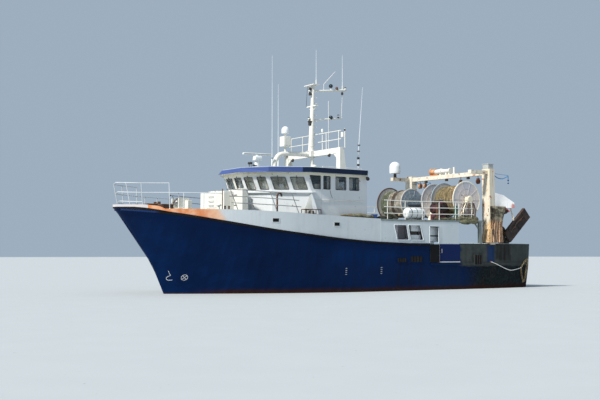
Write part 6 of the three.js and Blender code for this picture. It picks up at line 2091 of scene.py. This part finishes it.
class TRAWLER_OT_shelter_deck(bpy.types.Operator):
    """Life raft in its cradle, netting along the deck's edge and stores under the shelter"""
    bl_idname = "trawler.shelter_deck"
    bl_label = "Shelter deck"

    def execute(self, context):
        made = Shape()
        half = [(0, 0.625), (0.12, 0.622), (0.22, 0.6), (0.265, 0.56), (0.28, 0.5), (0.28, 0.32),
                (0.288, 0.3)]
        profile = [(r, -x) for r, x in half] + half[::-1]
        middle = (-3.225, 3.18, 4.08)
        made.turned(profile, middle, ALONG, 40, 0)
        made.box((-3.82, 2.9, 4.07), (-2.63, 3.46, 4.09), 0)
        for x in (-3.6, -2.85, -3.225):
            made.turned(((0.281, x - 0.02), (0.29, x - 0.02), (0.29, x + 0.02), (0.281, x + 0.02)),
                        (0, *middle[1:]), ALONG, 40, 1, closed=True)
        for x in (-2.85, -3.6):
            made.box((x - 0.06, 2.98, 3.7), (x + 0.06, 3.38, 3.74), 2)
            for y in (2.99, 3.33):
                made.box((x - 0.05, y, 3.7), (x + 0.05, y + 0.04, 4.0), 2)
            made.box((x - 0.04, 3.0, 3.74), (x + 0.04, 3.36, 3.84), 2)
        made.piece("raft_canister", "fibreglass vinyl galvanised", "white_paint", "life_raft")
        self.edge_nets()
        stores = Shape()
        # Crates on a locker inside the aft opening. Columns: foot, head, finish
        stores.box((-3.6, 2.5, 1.2), (-2.7, 3.4, 2.46), 2)
        for foot, head, look in ((2.46, 2.93, 0), (2.93, 3.12, 1), (3.12, 3.52, 0)):
            slim = 0.08 if look else 0.0
            stores.box((-3.5 + slim, 3.0 + slim, foot), (-2.85 - slim, 3.36 - slim, head), look)
        # Locker inside the passage and cabinets hung over the gate's swing
        # Columns: fore end, aft end, foot, head, finish
        for x1, x0, foot, head, look in ((-4.08, -4.5, 1.2, 2.56, 0), (-4.08, -5.16, 2.58, 2.86, 0),
                                         (-4.06, -5.18, 2.86, 2.92, 1), (-4.12, -5.1, 2.92, 3.36, 0),
                                         (-4.06, -5.18, 3.36, 3.41, 1), (-4.9, -4.96, 3.41, 3.66, 1),
                                         (-4.3, -4.36, 3.41, 3.66, 1)):
            x0, x1 = sorted((x0, x1))
            stores.box((x0, 2.95, foot), (x1, 3.3 + 0.02 * look, head), look)
        for side in (1, -1):
            # Casing walls that show through the openings. Columns: aft end, fore end, place
            for x0, x1, y in ((-4.4, -2.2, 2.44), (-2.2, -0.66, 3.0)):
                stores.box((x0, side * y - 0.02, 1.2), (x1, side * y + 0.02, 3.62), 3)
                for x in np.arange(x0 + 0.1, x1, 0.55):
                    stores.box((x - 0.03, side * (y + 0.04) - 0.03, 1.25),
                               (x + 0.03, side * (y + 0.04) + 0.03, 3.62), 3)
        stores.piece("shelter_stores", "fibreglass dark grey casing", "white_paint", bevel=0.01)
        return {"FINISHED"}

    def edge_nets(self):
        """Netting heaped along the edge of the shelter deck, behind the rail."""
        # Columns: x, y, half length, half width, height, rise over the deck
        for name, look, heaps in (
                ("edge_net", "pile_net",
                 ((-6.35, 3.43, 0.42, 0.16, 0.15, 0.08), (-6.9, 3.43, 0.42, 0.16, 0.16, 0.08),
                  (-7.4, 3.42, 0.3, 0.17, 0.15, 0.08), (-6.6, 3.62, 0.5, 0.07, 0.14, -0.1),
                  (-7.2, 3.62, 0.35, 0.07, 0.13, -0.08))),
                ("edge_net_dark", "pile_net",
                 ((-5.8, 3.4, 0.34, 0.14, 0.11, 0.05), (-5.2, 3.4, 0.36, 0.13, 0.09, 0.05),
                  (-4.7, 3.42, 0.3, 0.1, 0.06, 0.04))),
                ("edge_net_aft", "dark_net",
                 ((-0.95, 3.25, 0.3, 0.22, 0.12, 0.06), (-1.35, 3.22, 0.32, 0.2, 0.1, 0.05)))):
            lumps = [(x, y, deck_edge(x) + rise, long, wide, high) for x, y, long, wide, high, rise in heaps]
            heap(name, lumps, look, 0.04, 8.0, 4.0, rings=12, sides=22)


# Gantry

class TRAWLER_OT_gantry(bpy.types.Operator):
    """Stern gantry with blocks and lamps, hung trawl, hoods, otter boards and satellite dome"""
    bl_idname = "trawler.gantry"
    bl_label = "Gantry"

    def execute(self, context):
        dress((("gantry", "gantry", 0.015),))
        self.beam_gear()
        self.hung_trawl(context.scene.trawler_drums.pleats)
        self.boards()
        dome = [(0, 0.24), (0.2, 0.24), (0.3, 0.246), (0.335, 0.266), (0.343, 0.306), (0.343, 0.366),
                (0.335, 0.371), (0.343, 0.376), (0.343, 0.646)]
        dome += [(0.343 * math.cos(a), 0.646 + 0.343 * math.sin(a) * 0.98)
                 for a in np.linspace(0.12, math.pi / 2, 12)]
        foot = (-7.4, -3.35, 6.6)
        made = Shape().turned(dome, foot, UP, 40)
        made.post(foot, 6.86, 0.088, 20, 1)
        made.turned(((0, 0.003), (0.13, 0.003), (0.13, 0.02), (0, 0.02)), foot, UP, 20, 1)
        made.piece("satellite_dome", "fibreglass dark", "white_paint", "radome")
        return {"FINISHED"}

    def beam_gear(self):
        made = Shape()
        made.box((-8.8, -1.4, 6.6), (-8.5, -0.75, 6.68), 0)
        made.turned(((0, -0.36), (0.21, -0.36), (0.21, -0.3), (0.15, -0.28), (0.15, -0.02), (0.2, 0),
                     (0.2, 0.05), (0, 0.05)), (GANTRY_X, -1.06, 6.86), ACROSS, 24, 0)
        made.turned(((0, 0.05), (0.15, 0.05), (0.15, 0.5), (0.19, 0.52), (0.19, 0.6), (0.12, 0.62),
                     (0.12, 1.2), (0.16, 1.22), (0.16, 1.3), (0, 1.3)), (GANTRY_X, -1.06, 6.84), ACROSS, 24,
                    1)
        for y in (-0.6, -0.1, 0.15):
            made.box((-8.72, y - 0.05, 6.61), (-8.58, y + 0.05, 6.8), 1)
        made.box((-8.72, -1.45, 6.62), (-8.58, -1.36, 6.98), 1)
        made.post((GANTRY_X, 0.535, 6.6), 7.03, 0.06, 16, 1)
        made.box((-8.74, 0.45, 6.61), (-8.56, 0.62, 6.65), 1)
        made.box((-8.84, 3.05, 6.69), (-8.46, 3.5, 6.98), 2)
        made.box((-8.86, 3.02, 6.96), (-8.44, 3.53, 7.0), 2)
        for y in (-2.45, -2.0, 1.1, 2.5):
            made.tube([(GANTRY_X, y, 6.39), (GANTRY_X, y, 6.2)], 0.018, 8, 3)
            made.turned(((0, -0.06), (0.14, -0.055), (0.15, -0.03), (0.11, 0.0), (0.15, 0.03), (0.14, 0.055),
                         (0, 0.06)),
                        (GANTRY_X, y, 6.06), ACROSS, 20, 0 if y < 0 else 3)
            for off in (-0.075, 0.075):
                made.box((-8.7, y + off - 0.008, 5.92), (-8.6, y + off + 0.008, 6.24), 3)
        for y in (-1.7, 0.1, 1.9):
            made.box((-8.52, y - 0.08, 6.22), (-8.4, y + 0.08, 6.36), 4)
        made.piece("gantry_blocks", "orange white grey rusty dark", "rusty_steel", bevel=0.006)
        arms = Shape()
        for y in (3.3, -3.3):
            arms.box((-9.1, y - 0.05, 6.38), (-8.84, y + 0.05, 6.52), 1)
            arms.tube(curved([(-9.05, y, 6.42), (-9.4, y, 6.24), (-9.8, y, 6.22),
                              (-10.25, y, 6.38)], 5), 0.026, 10, 0)
            arms.tube([(-10.25, y, 6.4), (-10.25, y, 5.93)], 0.022, 10, 0)
            arms.tube([(-9.05, y, 6.48), (-10.25, y, 6.42)], 0.012, 8, 0)
            for z in (5.97, 6.14):
                arms.turned(((0, -0.02), (0.05, -0.02), (0.05, 0.02), (0, 0.02)), (-10.25, y, z), UP,
                            12, 1)
        arms.piece("lamp_arms", "pale_blue gate", "navy_paint")
        rungs = [[(x, side * y, z) for x, y in ((-8.52, 3.0), (-8.52, 2.93), (-8.78, 2.93), (-8.78, 3.0))]
                 for side in (1, -1) for z in np.arange(2.9, 6.4, 0.3)]
        bars("gantry_rungs", rungs, "rusty", "rusty_steel", 0.012, 6)
        sheets = Shape()
        for side in (1, -1):
            # The hood's own outline, a little larger. Columns: x, head, foot
            rows = [[(x, side * y, z) for y, z in ((3.508, foot), (3.458, head), (3.042, head),
                                                   (3.012, foot))]
                    for x, head, foot in ((-8.86, 5.408, 4.552), (-9.7, 5.258, 4.532),
                                          (-10.558, 4.858, 4.552))]
            sheets.grid(rows if side > 0 else rows[::-1], 0, True, True)
        sheets.piece("hood_sheets", "hood", "white_paint", bevel=0.01)
        lumps = []
        for side in (1, -1):
            lumps += [(-9.25, side * 3.27, 4.3, 0.45, 0.2, 0.28), (-9.85, side * 3.25, 4.38, 0.4, 0.17, 0.2)]
        heap("hood_nets", lumps, "brown_net", 0.05, 6.0, 6.0)
        spots = [(x, side * 3.44, z) for side in (1, -1)
                 for x, z in ((-9.45, 4.44), (-9.7, 4.36), (-9.9, 4.47), (-10.1, 4.36))]
        rows_of("hood_floats", spots, Shape().ball((0, 0, 0), 0.065, rings=8, sides=14), "red_float",
                "net_twine")

    def hung_trawl(self, pleats):
        """The trawl hangs in pleats from the hood, gathered at the top and spread on the bulwark."""
        # Columns: z, x of the fore side, x of the aft side, y of the inner side, y of the outer side
        levels = ((2.56, -8.2, -9.43, 3.04, 3.75), (3.2, -8.32, -9.41, 3.06, 3.74),
                  (3.6, -8.4, -9.4, 3.1, 3.735), (3.9, -8.44, -9.46, 3.2, 3.72),
                  (4.2, -8.44, -9.56, 3.26, 3.71), (4.5, -8.44, -9.7, 3.28, 3.7),
                  (4.6, -8.46, -9.72, 3.28, 3.66))
        rows = []
        for k in range(51):
            z = lerp(levels[0][0], levels[-1][0], k / 50)
            i = max(j for j, row in enumerate(levels[:-1]) if row[0] <= z + 1e-9)
            share = clamp((z - levels[i][0]) / (levels[i + 1][0] - levels[i][0]))
            fore, aft, inner, outer = (lerp(levels[i][c], levels[i + 1][c], share) for c in (1, 2, 3, 4))
            ring = []
            for step, (cos, sin) in enumerate(flattened(300, 0.35)):
                a = 2 * math.pi * step / 300
                drift = 0.35 * noise.noise(Vector((math.cos(a) * 1.5, math.sin(a) * 1.5, z * 0.9)))
                fold = math.sin(pleats * a + 5 * drift) * (0.045 + 0.015 * math.sin(3 * a + z))
                fold += 0.02 * math.sin(2.7 * pleats * a + 3 * z + 4 * drift)
                r = 0.94 + fold
                ring.append(Vector(((fore + aft) / 2 + (fore - aft) / 2 * cos * r,
                                    (inner + outer) / 2 + (outer - inner) / 2 * sin * r, z)))
            rows.append(ring)
        skin = Shape().grid(rows, round_rows=True, caps=True)
        netted("hung_trawl", skin, "bundle", 0.012, 11.0, 2.0, "pale_twine", "net_bundle")

    def boards(self):
        """Otter boards: curved plate with shoe, brackets, warp lug and backstrop rings."""
        made = Shape()
        turned = Matrix.Rotation(math.radians(42), 4, "Y")
        for side, name in ((1, "port"), (-1, "starboard")):
            dress(((f"otter_board_{name}", "board", 0.02),))
            place = Matrix.Translation((-10.71, side * 3.48, 3.58)) @ turned
            for x0, x1, z0, z1 in ((-1.08, 1.08, -0.345, -0.29), (-1.08, 1.08, 0.29, 0.345),
                                   (-0.75, -0.7, -0.34, 0.34), (0.0, 0.05, -0.34, 0.34),
                                   (0.7, 0.75, -0.34, 0.34)):
                for y in (0.07, -0.095):
                    made.box((x0, y, z0), (x1, y + 0.025, z1), 0, place)
            made.box((-1.09, -0.085, -0.348), (1.09, 0.085, -0.335), 1, place)
            made.box((-0.6, 0.09, -0.02), (0.55, 0.1, 0.02), 0, place)
            for x in (-0.35, 0.3):
                ring = circle(place @ Vector((x, 0.11 * side, 0.1)), 0.075, place.to_3x3() @ Vector(UP), 16)
                made.loop(ring, 0.012, 6, 1)
            made.tube([place @ Vector((-0.7, 0.09 * side, 0.05)), place @ Vector((0.0, 0.12 * side, 0.16)),
                       place @ Vector((0.7, 0.09 * side, 0.05))], 0.022, 8, 0)
        # Chains and bobbins heaped on the bulwark behind the trawl; their near-black tone is also painted
        # shade between the trawl and the boards
        lumps = []
        for side in (1, -1):
            lumps += [(-9.72, side * 3.2, 2.82, 0.3, 0.17, 0.36), (-9.8, side * 3.2, 3.2, 0.25, 0.16, 0.3),
                      (-10.1, side * 3.2, 2.66, 0.3, 0.15, 0.2)]
        heap("ground_gear", lumps, "dark_net", 0.06, 7.0, 3.0)
        made.piece("board_irons", "board rusty brown", "rusty_steel")


# Working deck

def warp(name, y, body):
    """Wire wound on a winch drum, one turn beside the other."""
    profile = [(0.283, -0.74)]
    pitch = 0.024
    for k in range(int(1.48 / pitch)):
        foot = -0.74 + k * pitch
        profile += [(0.4, foot + 0.001), (0.409, foot + pitch * 0.25), (0.412, foot + pitch * 0.5),
                    (0.409, foot + pitch * 0.75)]
    profile += [(0.4, 0.739), (0.283, 0.74)]
    made = Shape().turned(profile, (-2.5, y, 1.9), ACROSS, 48, closed=True)
    made.piece(name, "wire", "galvanised_steel", body=body)


class TRAWLER_OT_work_deck(bpy.types.Operator):
    """Trawl winch with its warps, fish hatch, screw, nozzle and rudder"""
    bl_idname = "trawler.work_deck"
    bl_label = "Working deck and screw"

    def execute(self, context):
        dress((("winch_frame", "green", 0.012), ("hatch_coaming", "grey", 0.008),
               ("hatch_lid", "deck", 0.006), ("winch_drum_port", "grey", 0.006),
               ("winch_drum_starboard", "grey", 0.006), ("propeller_nozzle", "hull", 0.012),
               ("rudder", "hull_local", 0.01), ("propeller", "bronze", 0.004)))
        warp("warp_port", 0.955, "winch_port")
        warp("warp_starboard", -0.955, "winch_starboard")
        bolt = Shape().turned(((0, -0.01), (0.022, -0.01), (0.022, 0.014), (0, 0.018)), (0, 0, 0), UP, 6)
        spots = [(-2.5 + dx, y, 1.425) for y in (-1.89, 0.0, 1.89) for dx in (-0.42, -0.3, 0.3, 0.42)]
        rows_of("deck_bolts", spots, bolt, "rusty", "rusty_steel")
        made = Shape()
        made.tube([(-9.75, -0.14, 1.606), (-9.75, -0.14, 1.65), (-9.75, 0.14, 1.65), (-9.75, 0.14, 1.606)],
                  0.011, 8, 0)
        made.box((-9.7, -0.3, 1.605), (-9.1, 0.3, 1.612), 1)
        made.piece("hatch_handle", "galvanised deck", "galvanised_steel", body="hatch")
        cap = Shape().turned(((0, -0.425), (0.03, -0.42), (0.09, -0.3), (0.13, -0.2), (0.142, -0.152),
                              (0.15, -0.15), (0.15, -0.13), (0, -0.13)), SCREW, ALONG, 32)
        cap.piece("screw_cone", "bronze", "bronze", body="screw")
        return {"FINISHED"}


OPERATORS = [TRAWLER_OT_stage, TRAWLER_OT_hull, TRAWLER_OT_strake, TRAWLER_OT_bulwarks, TRAWLER_OT_side_gear,
             TRAWLER_OT_rails, TRAWLER_OT_wheelhouse, TRAWLER_OT_foredeck, TRAWLER_OT_mast,
             TRAWLER_OT_net_drums, TRAWLER_OT_shelter_deck, TRAWLER_OT_gantry, TRAWLER_OT_work_deck]
SETTINGS = {"trawler_stage": StageSettings, "trawler_hull": HullSettings, "trawler_rails": RailSettings,
            "trawler_drums": DrumSettings}


class TRAWLER_PT_sidebar(bpy.types.Panel):
    """Lists the pieces and their settings"""
    bl_label = "Stern trawler"
    bl_idname = "TRAWLER_PT_sidebar"
    bl_space_type = "VIEW_3D"
    bl_region_type = "UI"
    bl_category = "Trawler"

    def draw(self, context):
        for operator in OPERATORS:
            self.layout.operator(operator.bl_idname)
        for name, kind in SETTINGS.items():
            box = self.layout.box()
            for setting in kind.__annotations__:
                box.prop(getattr(context.scene, name), setting)


def register():
    for kind in (*SETTINGS.values(), *OPERATORS, TRAWLER_PT_sidebar):
        bpy.utils.register_class(kind)
    for name, kind in SETTINGS.items():
        setattr(bpy.types.Scene, name, bpy.props.PointerProperty(type=kind))


def unregister():
    for name in SETTINGS:
        delattr(bpy.types.Scene, name)
    for kind in reversed((*SETTINGS.values(), *OPERATORS, TRAWLER_PT_sidebar)):
        bpy.utils.unregister_class(kind)


def main():
    register()
    for operator in OPERATORS:
        group, name = operator.bl_idname.split(".")
        getattr(getattr(bpy.ops, group), name)()


if __name__ == "__main__":
    main()
